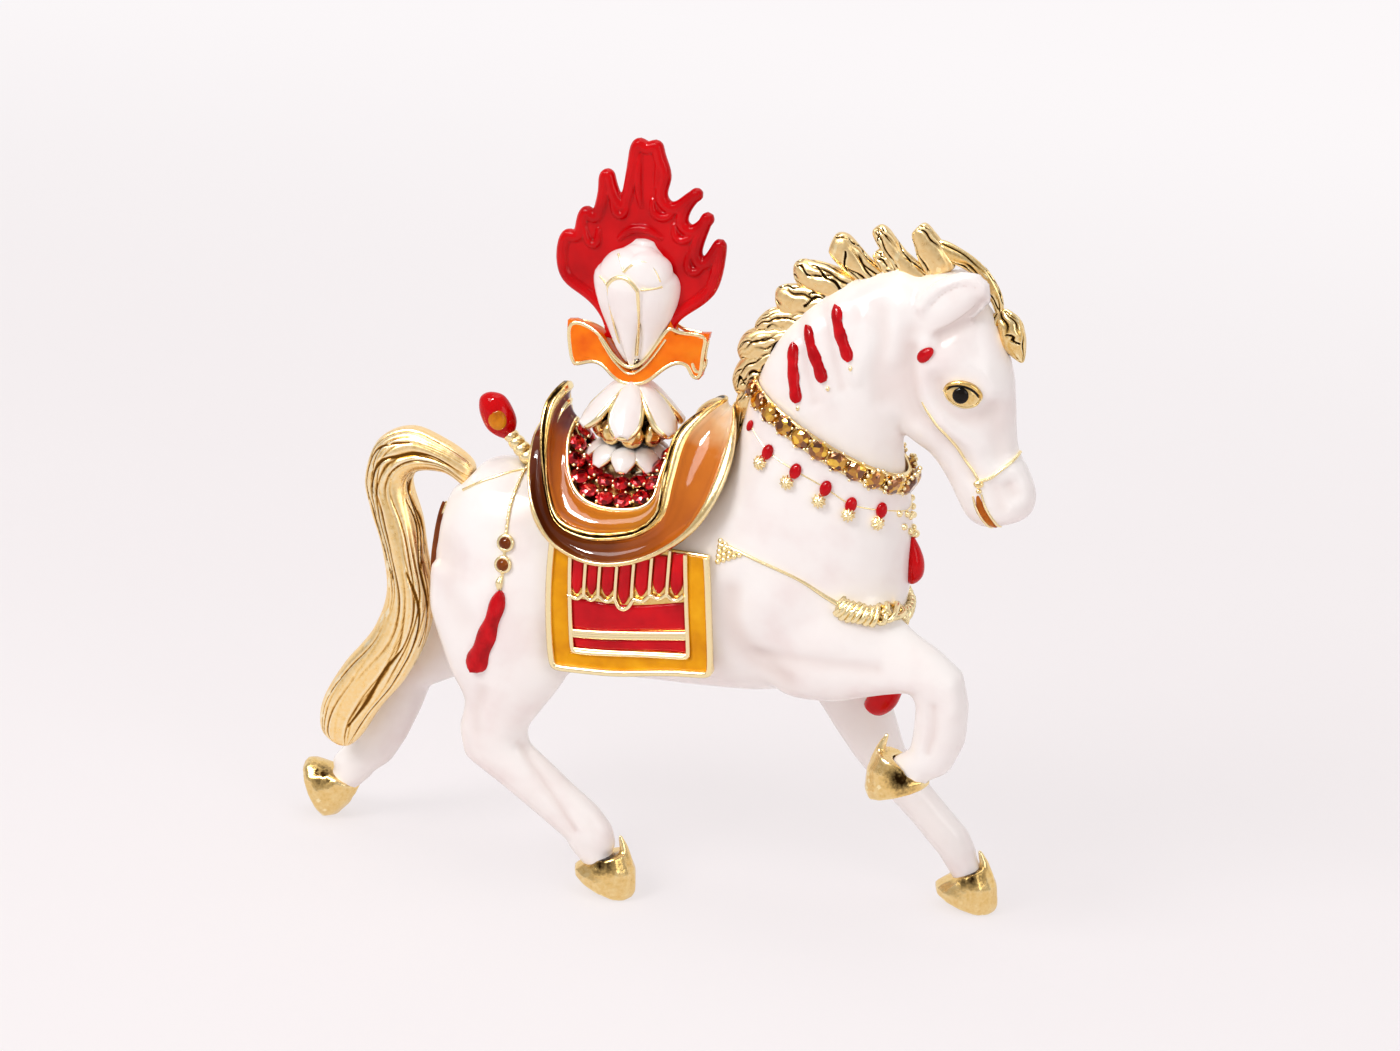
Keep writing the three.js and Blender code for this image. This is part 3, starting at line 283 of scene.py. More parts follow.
def ball(name, place, size, normal=(0, 0, 1), along=(1, 0, 0), segments=20, rings=12):
    """A ball of half sizes in millimetres at a place in metres; its last half size lies along the normal."""
    deselect()
    bpy.ops.mesh.primitive_uv_sphere_add(segments=segments, ring_count=rings, radius=mm)
    piece = bpy.context.object
    piece.name = name
    spread = Matrix.Diagonal((*size, 1))
    piece.data.transform(Matrix.Translation(place) @ turned_to(normal, along).to_4x4() @ spread)
    return piece


print("a normal along x turns z to", tuple(turned_to((1, 0, 0)) @ Vector((0, 0, 1))))

# %% [markdown]
# Colours are written as the sRGB codes that a paint chart gives, and one function turns them to the linear
# values that a shader wants. One more adds a node with its settings, its links and, for a ramp, its colours.
# Pattern sizes are given in millimetres: a noise of scale 1 repeats each metre, so its scale is one over
# the size.

# %% Material helpers
def linear(code):
    """An sRGB code such as "#c8101c" as a linear colour."""
    parts = [int(code[k:k + 2], 16) / 255 for k in (1, 3, 5)]
    return (*[p / 12.92 if p <= 0.04045 else ((p + 0.055) / 1.055) ** 2.4 for p in parts], 1)


def feed(tree, node, inputs):
    """Gives a node its inputs, by name or number. A socket is linked, and anything else is set."""
    for key, value in inputs.items():
        if isinstance(value, bpy.types.NodeSocket):
            tree.links.new(value, node.inputs[key])
        else:
            node.inputs[key].default_value = value


def add_node(tree, kind, inputs=None, out=0, stops=(), **settings):
    """Adds a node and gives back one of its outputs. stops are the (position, code) pairs of a ramp."""
    made = tree.nodes.new("ShaderNode" + kind)
    for key, value in settings.items():
        setattr(made, key, value)
    if stops:
        elements = made.color_ramp.elements
        while len(elements) < len(stops):
            elements.new(0.5)
        for element, (position, code) in zip(elements, stops):
            element.position = position
            element.color = linear(code)
    feed(tree, made, inputs or {})
    return made.outputs[out]


def per_mm(size):
    """The scale that gives a pattern features of this size in millimetres."""
    return 1 / (size * mm)


def start_material(name):
    material = bpy.data.materials.new(name)
    material.use_nodes = True
    tree = material.node_tree
    shader = tree.nodes["Principled BSDF"]
    place = add_node(tree, "TexCoord", out="Object")
    return material, tree, shader, place


print("mid grey is", round(linear("#808080")[0], 3))

# %% [markdown]
# Cold enamel is a tinted epoxy resin, poured into the cells of the casting and cured. It levels itself, so
# it is glassy, with a slow waviness of two or three millimetres where it was thick or thin. Opaque colours
# show clouds a few millimetres wide, and painted shade makes their creases a little darker. The horse wears
# the pearl white one: hardly any cloud, a soft gloss, and a painted pinkish grey shade in its hollows, which
# gives the eye its muscles.

# %% Cold enamel
def enamel(name, deep, body, thin, cloud=4.0, roughness=0.12, wave=2.2, shade="#8c8284", gleam=0.16):
    """Cold enamel: deep, body and thin colours follow clouds of this size, and painted shade fills the
    creases and hollows.
    """
    wave_depth = 0.05
    material, tree, shader, place = start_material(name)
    clouds = add_node(tree, "TexNoise", {"Vector": place, "Scale": per_mm(cloud), "Detail": 3.0})
    colour = add_node(tree, "ValToRGB", {"Fac": clouds},
                      stops=[(0.3, deep), (0.5, body), (0.72, thin)])
    # Painted shade: creases darken toward the shade colour, and the painted attribute of hollows tints toward
    # it.
    crevice = add_node(tree, "NewGeometry", out="Pointiness")
    painted_crease_shade = add_node(tree, "ValToRGB", {"Fac": crevice}, stops=[(0.4, shade), (0.49, "#ffffff")])
    crease_shaded_colour = add_node(tree, "Mix", {0: 1.0, 6: colour, 7: painted_crease_shade}, out=2,
                       data_type="RGBA", blend_type="MULTIPLY")
    hollow_shade = add_node(tree, "Attribute", out="Fac", attribute_name="hollow_shade")
    hollow_shaded_colour = add_node(tree, "Mix", {0: hollow_shade, 6: crease_shaded_colour, 7: linear(shade)}, out=2,
                      data_type="RGBA")
    waves = add_node(tree, "TexNoise", {"Vector": place, "Scale": per_mm(wave), "Detail": 1.0})
    relief = add_node(tree, "Bump", {"Height": waves, "Distance": wave_depth * mm})
    feed(tree, shader, {"Base Color": hollow_shaded_colour, "Roughness": roughness, "Specular IOR Level": gleam,
                        "Normal": relief})
    return material


white_enamel = enamel("pearl_cold_enamel", "#f4eae7", "#f9f4f1", "#fbf8f5", cloud=7.0, wave=3.0,
                      shade="#e5d6d0", roughness=0.16, gleam=0.35)
print(white_enamel.name, "has", len(white_enamel.node_tree.nodes), "nodes")

# %% [markdown]
# The horse is one zinc casting, with no seam between its limbs. A sculptor would press the parts together
# and smooth the joints with a thumb. The same is done here: copies of the plain solids are fused by a voxel
# remesh, which forgets every edge finer than its grain, and smoothing softens the rest. Smoothing also thins
# a limb, so each one is swelled back a little. The ears are leaf-shaped dishes with thick rims, laid on the
# head before all is fused, and a short pastern carries each leg down into its hoof.

# %% Horse, body and limbs
def limb(name, node_name, swell, rounds):
    piece = fused(copy_of(name, node_name), 0.3, rounds)
    return apply_modifier(piece, "DISPLACE", strength=swell * mm, mid_level=0)


def ear(name, side, shift_x=0.0, shift_z=0.0):
    """A dished leaf from its root behind the cheek up to its tip beside the forelock."""
    def place(u, v):
        across = 2 * u - 1
        wide = smooth([1.5, 1.95, 1.9, 1.45, 0.25], v)
        dish = 1.15 * (1 - across**2) * smooth([0.5, 1.0, 1.0, 0.7, 0.0], v)
        x = 28.7 + 6.4 * v - 0.62 * wide * across + 0.5 * math.sin(math.pi * v) * 0.3
        z = 76.2 + 4.9 * v + 0.78 * wide * across + 0.6 * math.sin(math.pi * v)
        return x + shift_x, -side * (4.75 - 0.35 * v - dish), z + shift_z

    piece = tidy_mesh(sheet(name, 16, 24, place))
    middle = piece.data.polygons[len(piece.data.polygons) // 2]
    outward = 1 if middle.normal.y * -side > 0 else -1
    return apply_modifier(piece, "SOLIDIFY", thickness=1.5 * mm, offset=-outward)


skin_parts = [limb("skin_torso", "torso", 0.28, 60), limb("skin_head", "head", 0.13, 26)]
for leg in ("hind_right", "hind_left", "fore_left", "fore_right"):
    skin_parts.append(limb("skin_" + leg, "leg_" + leg, 0.24, 16))
skin_parts += [ear("skin_ear_right", 1), ear("skin_ear_left", -1, -0.8, -1.4)]
pasterns = [
    [(35.0, 7.7, 8.2), (36.5, 7.75, 6.0), (37.7, 7.8, 4.0)],
    [(-7.2, -6.45, 7.0), (-5.6, -6.5, 5.2), (-4.1, -6.5, 3.6)],
    [(-38.5, 1.5, 7.4), (-39.9, 1.25, 5.8), (-41.2, 1.1, 4.2)],
    [(33.2, -6.3, 22.8), (31.9, -6.3, 22.0), (30.6, -6.3, 21.3)],
]
for path in pasterns:
    skin_parts.append(cord("pastern", [at(*place) for place in path], [2.05, 2.0, 1.8], roundness=4))
horse = fused(joined("horse_enamel", skin_parts), 0.34, 4)
print("fused skin", len(horse.data.polygons), "faces")

# %% [markdown]
# The joints at shoulder, hip and throat are then rubbed much softer than the rest. A vertex group says how
# much each point takes part, and a smoothing modifier follows it.

# %% Soft joints
def soften(piece, spots, rounds):
    """Smooths round places of the drawing: each spot is (x, y, z, radius) in millimetres."""
    group = piece.vertex_groups.new(name="soft")
    for vertex in piece.data.vertices:
        place = drawn(vertex.co)
        weight = max(min(1.0, 2.2 * (1 - (place - Vector(spot[:3])).length / spot[3])) for spot in spots)
        if weight > 0:
            group.add([vertex.index], weight, "REPLACE")
    apply_modifier(piece, "SMOOTH", factor=0.5, iterations=rounds, vertex_group="soft")
    piece.vertex_groups.clear()


joints = [(19, -8, 36, 12), (20, 8, 33, 12), (-18, -8, 31, 13), (-20, 8, 31, 13), (27, -4, 70, 5),
          (27, 4, 70, 5), (22, -5, 66, 6), (22, 5, 66, 6)]
soften(horse, joints, 140)
print(len(joints), "joints softened")

# %% [markdown]
# Muscles, eye sockets, jaw and nostrils are shallow forms on that soft skin. Each is a stroke in the side
# view, with a width and a height, like the pull of a thumb or a rounded tool. Hollows get a painted pinkish
# shade, so the strokes also write how hollow each point is.

# %% Sculpting with strokes
def sculpt(piece, strokes):
    """Strokes are (sides, radius, height, path): sides is 1, -1 or 0 for both, and path lists (x, z)."""
    count = len(piece.data.vertices)
    flat = np.empty(count * 3)
    piece.data.vertices.foreach_get("co", flat)
    places = flat.reshape(-1, 3)
    normals = np.array([tuple(vertex.normal) for vertex in piece.data.vertices])
    drawing = (places - np.array(drawing_origin)) / mm
    side = np.where(drawing[:, 1] < 0, 1, -1)
    facing = np.clip(-side * normals[:, 1] * 2.5, 0, 1)
    rise = np.zeros(count)
    for sides_touched, radius, height, path in strokes:
        steps = (len(path) - 1) * 8
        line = [np.array(smooth(path, k / steps)) for k in range(steps + 1)]
        gap = np.full(count, np.inf)
        for one, two in zip(line, line[1:]):
            along = two - one
            share = ((drawing[:, (0, 2)] - one) @ along) / max(along @ along, 1e-9)
            near = one + np.clip(share, 0, 1)[:, None] * along
            gap = np.minimum(gap, np.hypot(*(drawing[:, (0, 2)] - near).T))
        fall = np.exp(-(gap / radius) ** 2) * facing
        rise += height * np.where((side == sides_touched) | (sides_touched == 0), fall, 0)
    piece.data.vertices.foreach_set("co", (places + normals * rise[:, None] * mm).ravel())
    # How hollow each point is becomes the painted pinkish shade of the enamel.
    layer = piece.data.attributes.new("hollow_shade", "FLOAT", "POINT")
    layer.data.foreach_set("value", np.clip(-rise * 1.1, 0, 0.6))
    piece.data.update()
    print(len(strokes), "strokes, from", round(rise.min(), 2), "to", round(rise.max(), 2), "mm")


# %% [markdown]
# The strokes follow the photo: the step at the jaw and the groove behind it, the fold over the eye, cheek
# and nostril, long furrows down the neck, the shoulder, the flank and the sinews of the legs. A stroke with
# a negative height is a hollow.

# %% Face, neck and muscles
face_edge = [(28.2, 73.2), (28.3, 70.2), (29.2, 66.7), (30.8, 64.8), (32.1, 63.7), (34.7, 61.1), (36.2, 58.9)]
sculpt(horse, [
    (0, 0.9, -0.42, [(x - 0.7, z - 0.6) for x, z in face_edge]),
    (0, 0.9, 0.3, [(x + 0.7, z + 0.5) for x, z in face_edge]),
    (0, 1.6, -0.4, [(27.0, 74.5), (26.4, 71.0), (26.6, 67.5), (27.8, 64.9)]),
    (0, 1.1, -0.75, [(30.6, 74.7), (32.3, 76.0), (33.8, 77.4), (35.0, 79.0)]),
    (0, 1.1, 0.35, [(30.2, 71.2), (32.6, 72.0), (35.4, 71.0), (37.2, 68.9)]),
    (0, 1.2, -0.5, [(31.0, 69.2), (31.6, 66.9), (33.6, 65.5), (36.0, 66.0), (37.0, 67.2)]),
    (0, 1.0, 0.25, [(31.6, 64.6), (33.8, 63.4), (36.0, 62.0)]),
    (0, 1.4, -0.3, [(37.6, 66.0), (38.0, 63.5), (38.4, 61.6)]),
    (0, 1.0, -0.5, [(39.9, 57.7), (40.4, 56.9)]),
    (0, 1.0, 0.2, [(38.6, 59.0), (40.0, 59.2), (41.0, 57.8), (40.6, 55.6)]),
    (0, 0.9, -0.3, [(38.2, 57.2), (38.9, 55.2)]),
    (0, 0.8, 0.25, [(35.6, 57.2), (36.2, 55.0), (37.2, 53.2)]),
    (0, 1.2, -0.35, [(23.4, 76.4), (24.2, 73.0), (23.8, 69.6), (24.4, 66.4)]),
    (0, 1.1, 0.3, [(21.8, 75.6), (21.9, 72.5), (21.6, 69.5)]),
    (0, 1.0, 0.28, [(25.6, 77.4), (25.6, 74.5), (25.3, 71.5)]),
    (0, 0.8, 0.3, [(13.6, 71.2), (14.5, 66.6), (15.3, 63.8)]),
    (0, 0.8, 0.3, [(15.0, 73.4), (17.0, 69.4), (18.8, 65.8)]),
    (0, 0.8, 0.3, [(18.1, 76.2), (19.7, 72.2), (21.2, 68.4)]),
    (0, 0.8, -0.28, [(14.2, 73.2), (15.4, 69.0), (16.9, 65.4)]),
    (0, 0.8, -0.28, [(16.6, 75.4), (18.3, 71.4), (19.9, 67.4)]),
    (0, 1.6, -0.55, [(9.6, 41.6), (9.9, 37.6), (12.4, 33.8), (16.4, 31.6)]),
    (1, 1.1, -0.4, [(13.2, 34.0), (17.0, 34.6), (22.0, 35.0), (27.4, 35.4)]),
    (0, 3.2, 0.4, [(14.5, 41.0), (19.0, 39.0), (24.0, 39.6)]),
    (0, 2.4, -0.35, [(-9.0, 44.0), (-10.0, 38.0), (-9.6, 32.0)]),
    (0, 2.0, -0.3, [(-26.0, 40.0), (-24.8, 36.0), (-22.4, 33.0)]),
    (0, 3.0, 0.35, [(-18.0, 37.0), (-17.0, 31.0)]),
    (1, 0.55, -0.4, [(-15.4, 18.0), (-12.9, 15.0), (-10.2, 11.8), (-7.6, 8.3)]),
    (1, 0.9, -0.3, [(-19.6, 24.4), (-20.6, 21.6), (-20.6, 19.0)]),
    (1, 1.0, 0.3, [(-17.0, 19.4), (-15.4, 18.6)]),
    (-1, 0.6, -0.35, [(-33.0, 18.4), (-34.8, 14.4), (-37.4, 10.2)]),
    (-1, 0.6, -0.35, [(26.0, 18.6), (29.0, 15.2), (32.6, 11.4)]),
    (1, 0.7, 0.3, [(36.2, 34.6), (36.9, 33.0), (36.9, 31.4)]),
    (1, 0.6, -0.35, [(34.6, 31.8), (34.8, 28.6), (34.3, 26.2)]),
])
apply_modifier(horse, "SMOOTH", factor=0.5, iterations=2)

# %% [markdown]
# Harness, eyes and enamel strokes will all lie on this skin. A search tree of its faces finds the nearest
# place on it, and the normal there, for any place that is only roughly known. Then the horse is finished.

# %% The finished horse
skin_tree = BVHTree.FromObject(horse, bpy.context.evaluated_depsgraph_get())


def on_skin(x, y, z, lift=0.0):
    """The nearest place on the enamel in metres, lifted by millimetres, and the normal there."""
    spot, normal, face, gap = skin_tree.find_nearest(at(x, y, z))
    return spot + normal * lift * mm, normal


finish(horse, white_enamel, "white_enamel", "torso", "head", "leg_hind_right", "leg_hind_left",
       "leg_fore_left", "leg_fore_right")

# %% [markdown]
# Gold plating is a thin bright layer on cast zinc, and it keeps the sheen of the polished casting. Its colour
# darkens in creases and grain, partly for a dark antique wash and partly as painted shade, and the raised
# edges get a pale painted highlight. How sharply the surface bends drives that darkening here, and an
# attribute given place by place can add more of it. The grain of the real wash is too fine to show, so it is
# drawn about half a millimetre coarse.

# %% Gold plating
def gold(name, wash_and_shade=(0.455, 0.495, 0.54), pit="#1d1206", crease="#33200a", body="#e2b767", edge="#f9e6b4",
         roughness=0.2, grain=0.35, grain_depth=0.02):
    """Gold plating: pit, crease, body and edge colours follow the surface and a painted attribute; pit and
    crease are partly painted shade, edge a painted highlight.
    """
    grain_pull, painted_pull, pit_width = 0.05, -0.11, 0.03
    material, tree, shader, place = start_material(name)
    # Painted shade and highlight: low pointiness darkens creases toward pit and crease, high pointiness
    # lights edges.
    crevice = add_node(tree, "NewGeometry", out="Pointiness")
    speckle = add_node(tree, "TexNoise", {"Vector": place, "Scale": per_mm(grain), "Detail": 4.0})
    centred = add_node(tree, "Math", {0: speckle, 1: -0.5}, operation="ADD")
    moved = add_node(tree, "Math", {0: centred, 1: grain_pull, 2: crevice}, operation="MULTIPLY_ADD")
    painted = add_node(tree, "Attribute", out="Fac", attribute_name="wash_and_shade")
    wash_and_shade_amount = add_node(tree, "Math", {0: painted, 1: painted_pull, 2: moved},
                       operation="MULTIPLY_ADD")
    stops = [(wash_and_shade[0] - pit_width, pit), (wash_and_shade[0], crease), (wash_and_shade[1], body), (wash_and_shade[2], edge)]
    rough = {"Value": speckle, "To Min": roughness * 0.7, "To Max": roughness * 1.5}
    feed(tree, shader, {
        "Base Color": add_node(tree, "ValToRGB", {"Fac": wash_and_shade_amount}, stops=stops),
        "Metallic": 1.0,
        "Roughness": add_node(tree, "MapRange", rough),
        "Normal": add_node(tree, "Bump", {"Height": speckle, "Distance": grain_depth * mm}),
    })
    return material


print("a wash of 1 darkens as a crease of 0.11 would")

# %% [markdown]
# Tail and mane are carved hair. Each lock is a smooth swelling form, cut by lines that run along it, some
# long and some broken like cracks. The form is a sheet wrapped round a few given stations, and the same
# small function that sinks the cuts writes how deep each point lies, so that a dark wash and painted shade
# lie in them. A station lists both edges of the lock in the side view, its half thickness and how far it
# sits out.

# %% Carved locks
def lock(name, stations, cuts, depth, seed, columns=64, rows=70, sway=0.35, cracks=3, crack_width=0.08,
         tip=8):
    """One lock. cuts counts the fine lines round it, and cracks the short dark ones."""
    chance = random.Random(seed)
    stations = [station if len(station) == 6 else (*station, 0) for station in stations]
    lines = [(2 * math.pi * (k + 0.6 * chance.random()) / cuts, chance.random() * 6.28,
              chance.uniform(0.6, 1.5), chance.random() * 6.28) for k in range(cuts)]
    splits = [(chance.random() * 6.28, chance.uniform(0.05, 0.7), chance.uniform(0.15, 0.4),
               chance.uniform(-0.8, 0.8)) for k in range(cracks)]

    def carve(angle, v):
        """How deep the point lies, and how dark it is painted, partly for antique darkening and partly as
        shade.
        """
        fine, dark = 0.0, 0.0
        for home, phase, pace, start in lines:
            line = home + sway * math.sin(3.2 * v * pace + phase) + 0.08 * math.sin(23 * v + phase)
            gap = abs((angle - line + math.pi) % (2 * math.pi) - math.pi)
            live = min(1, max(0.15, 0.6 + 0.6 * math.sin(9 * v * pace + start)))
            fine = max(fine, live * math.exp(-(gap * cuts / 1.3) ** 2))
        for home, start, length, lean in splits:
            along = (v - start) / length
            if 0 < along < 1:
                line = home + lean * along + 0.12 * math.sin(31 * v + home) + sway * math.sin(3.2 * v + home)
                gap = abs((angle - line + math.pi) % (2 * math.pi) - math.pi)
                width = crack_width * math.sin(math.pi * along) * (1 + 0.5 * math.sin(47 * v + start)) + 0.02
                dark = max(dark, math.exp(-(gap / width) ** 2))
        ends = min(1, 9 * v + 0.2, 7 * (1 - v) + 0.1)
        return max(fine * 0.8, dark) * ends, max(0.35 * fine**2, dark) * ends

    def place(u, v):
        angle = 2 * math.pi * u
        ax, az, bx, bz, half, y = smooth(stations, v)
        close = math.sqrt(max(0, 1 - (2 * v - 1) ** tip))
        wide = max(math.hypot(ax - bx, az - bz) / 2, 0.1)
        across, out = math.cos(angle), math.sin(angle)
        across = math.copysign(abs(across) ** 0.85, across)
        out = math.copysign(abs(out) ** 0.85, out)
        sunk = depth * carve(angle, v)[0]
        x, z = (ax + bx) / 2, (az + bz) / 2
        reach = close * max(0.2, 1 - sunk / wide)
        rise = close * max(0.2, 1 - sunk / max(half, 0.3))
        return x + (ax - x) * across * reach, y + half * out * rise, z + (az - z) * across * reach

    piece = sheet(name, columns, rows, place)
    # The darkness of cuts and cracks is written for the gold's wash and painted shade.
    wash_and_shade = piece.data.attributes.new("wash_and_shade", "FLOAT", "POINT")
    values = [0.0] * len(piece.data.vertices)
    for k in range((columns + 1) * (rows + 1)):
        row, column = divmod(k, columns + 1)
        values[k] = carve(2 * math.pi * column / columns, row / rows)[1]
    wash_and_shade.data.foreach_set("value", values)
    return tidy_mesh(piece)


print("a lock narrows to nothing at both ends")

# %% [markdown]
# The tail is one big lock that leaves the croup, bends down and sweeps back to a point. Its gold is pale:
# only a warm brown of wash and painted shade stays in its grooves, and a painted highlight lies on its raised
# parts, a pale, soft gold with fine dark threads.

# %% Tail
tail_gold = gold("rubbed_gold_plating", pit="#6b4415", crease="#b27c34", body="#fdd68f", edge="#fff0cc",
                 roughness=0.28, grain=0.5)
tail_stations = [
    (-24.6, 49.6, -25.6, 45.6, 1.6, 0), (-28.9, 51.6, -28.2, 47.6, 2.0, 0),
    (-33.4, 52.7, -31.6, 47.5, 2.4, 0), (-37.2, 50.6, -32.8, 46.4, 2.6, -0.2),
    (-38.5, 46.0, -32.6, 44.8, 2.7, -0.4), (-37.6, 42.6, -31.2, 41.4, 2.8, -0.8),
    (-35.6, 37.8, -30.2, 37.4, 2.8, -1.4), (-34.6, 32.4, -28.8, 32.4, 2.8, -2.0),
    (-36.0, 27.4, -29.3, 26.8, 2.6, -2.7), (-39.3, 22.6, -31.6, 21.6, 2.4, -3.1),
    (-41.8, 17.6, -34.5, 17.4, 2.2, -3.3), (-42.0, 13.6, -36.6, 13.6, 1.8, -3.3),
    (-40.2, 11.6, -38.2, 11.5, 1.0, -3.2),
]
tail = lock("tail_hair", tail_stations, 30, 0.32, seed=3, columns=140, rows=190, sway=0.3, cracks=13,
            crack_width=0.05, tip=26)
finish(tail, tail_gold, "gold_plate", "tail")

# %% [markdown]
# The lower mane hangs in four pale lobes with fine wavy lines. The upper mane flies back in six bright
# locks, broad like leaves, with a few deep cracks, and a crest joins them along the neck. The mane's gold is
# brushed, paler and duller than that of the harness, so that it reads as hair.

# %% Mane
hair_gold = gold("brushed_gold_plating", body="#eac688", edge="#f7e2b0", roughness=0.28, grain=0.5)
mane_lobes = [
    [(16.6, 75.6, 15.8, 71.0, 1.3), (12.2, 74.6, 12.6, 70.4, 1.4), (9.4, 73.6, 9.8, 70.2, 1.2),
     (7.8, 71.8, 8.3, 70.2, 0.7)],
    [(15.4, 73.4, 13.8, 69.2, 1.5), (10.6, 72.2, 10.8, 67.6, 1.6), (7.2, 70.8, 8.1, 66.8, 1.3),
     (5.9, 68.6, 6.6, 67.0, 0.7)],
    [(13.2, 70.6, 12.6, 66.0, 1.5), (9.2, 69.4, 9.6, 64.2, 1.6), (6.7, 67.4, 7.5, 63.0, 1.4),
     (5.6, 65.0, 6.3, 63.0, 0.8)],
    [(11.8, 67.2, 11.2, 62.2, 1.4), (8.2, 65.6, 8.8, 60.4, 1.5), (6.5, 62.8, 7.7, 58.6, 1.2),
     (6.5, 59.0, 7.6, 57.2, 0.7)],
]
mane_crest = [
    (8.2, 60.0, 9.4, 60.4, 0.9), (7.6, 64.4, 10.4, 64.0, 1.3), (8.8, 69.2, 12.6, 68.2, 1.3),
    (12.2, 73.4, 16.2, 71.8, 1.3), (17.2, 77.2, 21.0, 75.2, 1.2), (22.4, 79.8, 25.4, 77.4, 1.1),
    (28.0, 81.6, 29.4, 79.2, 0.9),
]
mane_locks = [
    [(18.6, 77.2, 18.2, 73.8, 1.2), (14.6, 77.3, 14.6, 73.0, 1.5), (11.6, 77.0, 11.8, 73.0, 1.3),
     (10.0, 76.4, 10.2, 74.2, 0.7)],
    [(21.6, 78.2, 20.4, 75.8, 1.2), (17.0, 79.8, 16.6, 75.9, 1.5), (13.4, 80.2, 13.4, 76.8, 1.3),
     (11.9, 79.6, 12.1, 77.7, 0.7)],
    [(24.8, 78.6, 22.6, 76.8, 1.2), (20.8, 81.4, 18.8, 79.0, 1.3), (18.2, 83.7, 16.3, 80.9, 1.3),
     (16.6, 83.9, 15.9, 81.8, 0.8)],
    [(26.4, 79.6, 24.0, 78.0, 1.1), (23.2, 82.2, 21.6, 80.8, 1.0), (21.8, 82.8, 21.0, 81.8, 0.5)],
    [(29.0, 80.2, 25.6, 78.8, 1.2), (25.2, 82.6, 23.2, 81.0, 1.1), (22.8, 85.0, 21.2, 83.6, 1.0),
     (21.7, 85.6, 20.7, 84.7, 0.6)],
    [(31.4, 81.8, 27.6, 79.8, 1.2), (29.0, 84.4, 26.2, 82.4, 1.2), (27.2, 86.2, 25.4, 84.6, 0.9),
     (26.4, 86.3, 25.6, 85.4, 0.6)],
]
mane_parts = [lock("crest", mane_crest, 16, 0.3, seed=5, rows=90, cracks=8)]
for k, stations in enumerate(mane_lobes):
    mane_parts.append(lock("lobe", stations, 22, 0.36, seed=10 + k, columns=110, sway=0.2, cracks=2))
for k, stations in enumerate(mane_locks):
    mane_parts.append(lock("lock", stations, 8, 0.3, seed=20 + k, columns=96, sway=0.5, cracks=9))
finish(joined("mane_hair", mane_parts), hair_gold, "gold_plate", "mane")

# %% [markdown]
# A gold line leads down the forehead to a forelock of two small leaves. They are in the bright gold of the
# harness: a mirror with a yellow body, nearly black in its creases with wash and painted shade, and with a
# pale painted highlight on its edges.

# %% Forelock
bright_gold = gold("bright_gold_plating")
brow_line = [
    (28.2, 85.2, 27.4, 82.4, 0.8), (31.8, 83.7, 31.0, 81.9, 0.8), (34.5, 81.9, 33.3, 80.8, 0.7),
    (36.3, 79.3, 35.0, 78.5, 0.6), (36.8, 77.0, 35.8, 76.8, 0.5),
]
fore_leaf = [
    (36.9, 78.0, 35.6, 77.0, 0.6), (38.7, 76.7, 36.3, 75.1, 1.3), (39.5, 74.6, 36.9, 73.3, 1.2),
    (39.7, 71.9, 39.1, 71.6, 0.4),
]
small_leaf = [
    (36.6, 77.6, 35.6, 77.2, 0.5), (36.6, 76.2, 34.8, 75.6, 0.9), (36.1, 74.6, 34.8, 74.2, 0.8),
    (35.8, 73.1, 35.2, 73.0, 0.3),
]
forelock = joined("forelock_hair", [
    lock("brow", brow_line, 6, 0.2, seed=31, columns=60, cracks=7),
    lock("leaf", fore_leaf, 8, 0.3, seed=32, cracks=7),
    lock("leaf", small_leaf, 6, 0.25, seed=33, columns=48, cracks=5),
])
finish(forelock, bright_gold, "gold_plate", "forelock")

# %% [markdown]
# The hooves are bare gold: a bright lower wall, a pointed front and a flare at the heel. Toward the crown of
# the hoof a dark grainy patch is painted, partly wash and partly a painted dark reflection. A vertex
# attribute marks how close each point is to that patch, and the material reads it.

# %% Hooves
hoof_gold = gold("antique_gold_plating", body="#e9c47c", grain=0.4, grain_depth=0.03)
hoof_crowns = {
    "hoof_hind_right": (-3.8, -8.2, 5.2), "hoof_hind_left": (-42.6, -1.2, 6.8),
    "hoof_fore_left": (38.0, 5.6, 5.6), "hoof_fore_right": (31.6, -8.2, 22.4),
}


def paint(piece, attribute, value_at):
    """Writes a number on each vertex; value_at gets the vertex's place in drawing millimetres."""
    layer = piece.data.attributes.new(attribute, "FLOAT", "POINT")
    layer.data.foreach_set("value", [value_at(drawn(vertex.co)) for vertex in piece.data.vertices])


for node_name, crown in hoof_crowns.items():
    hoof = copy_of(node_name + "_gold", node_name)
    fused(hoof, 0.16, 24)
    # Painted dark patch near the hoof's crown, partly a painted dark reflection.
    paint(hoof, "wash_and_shade", lambda place: max(0.0, 1.5 - (place - Vector(crown)).length / 1.7) * 0.45)
    finish(hoof, hoof_gold, "gold_plate", node_name)
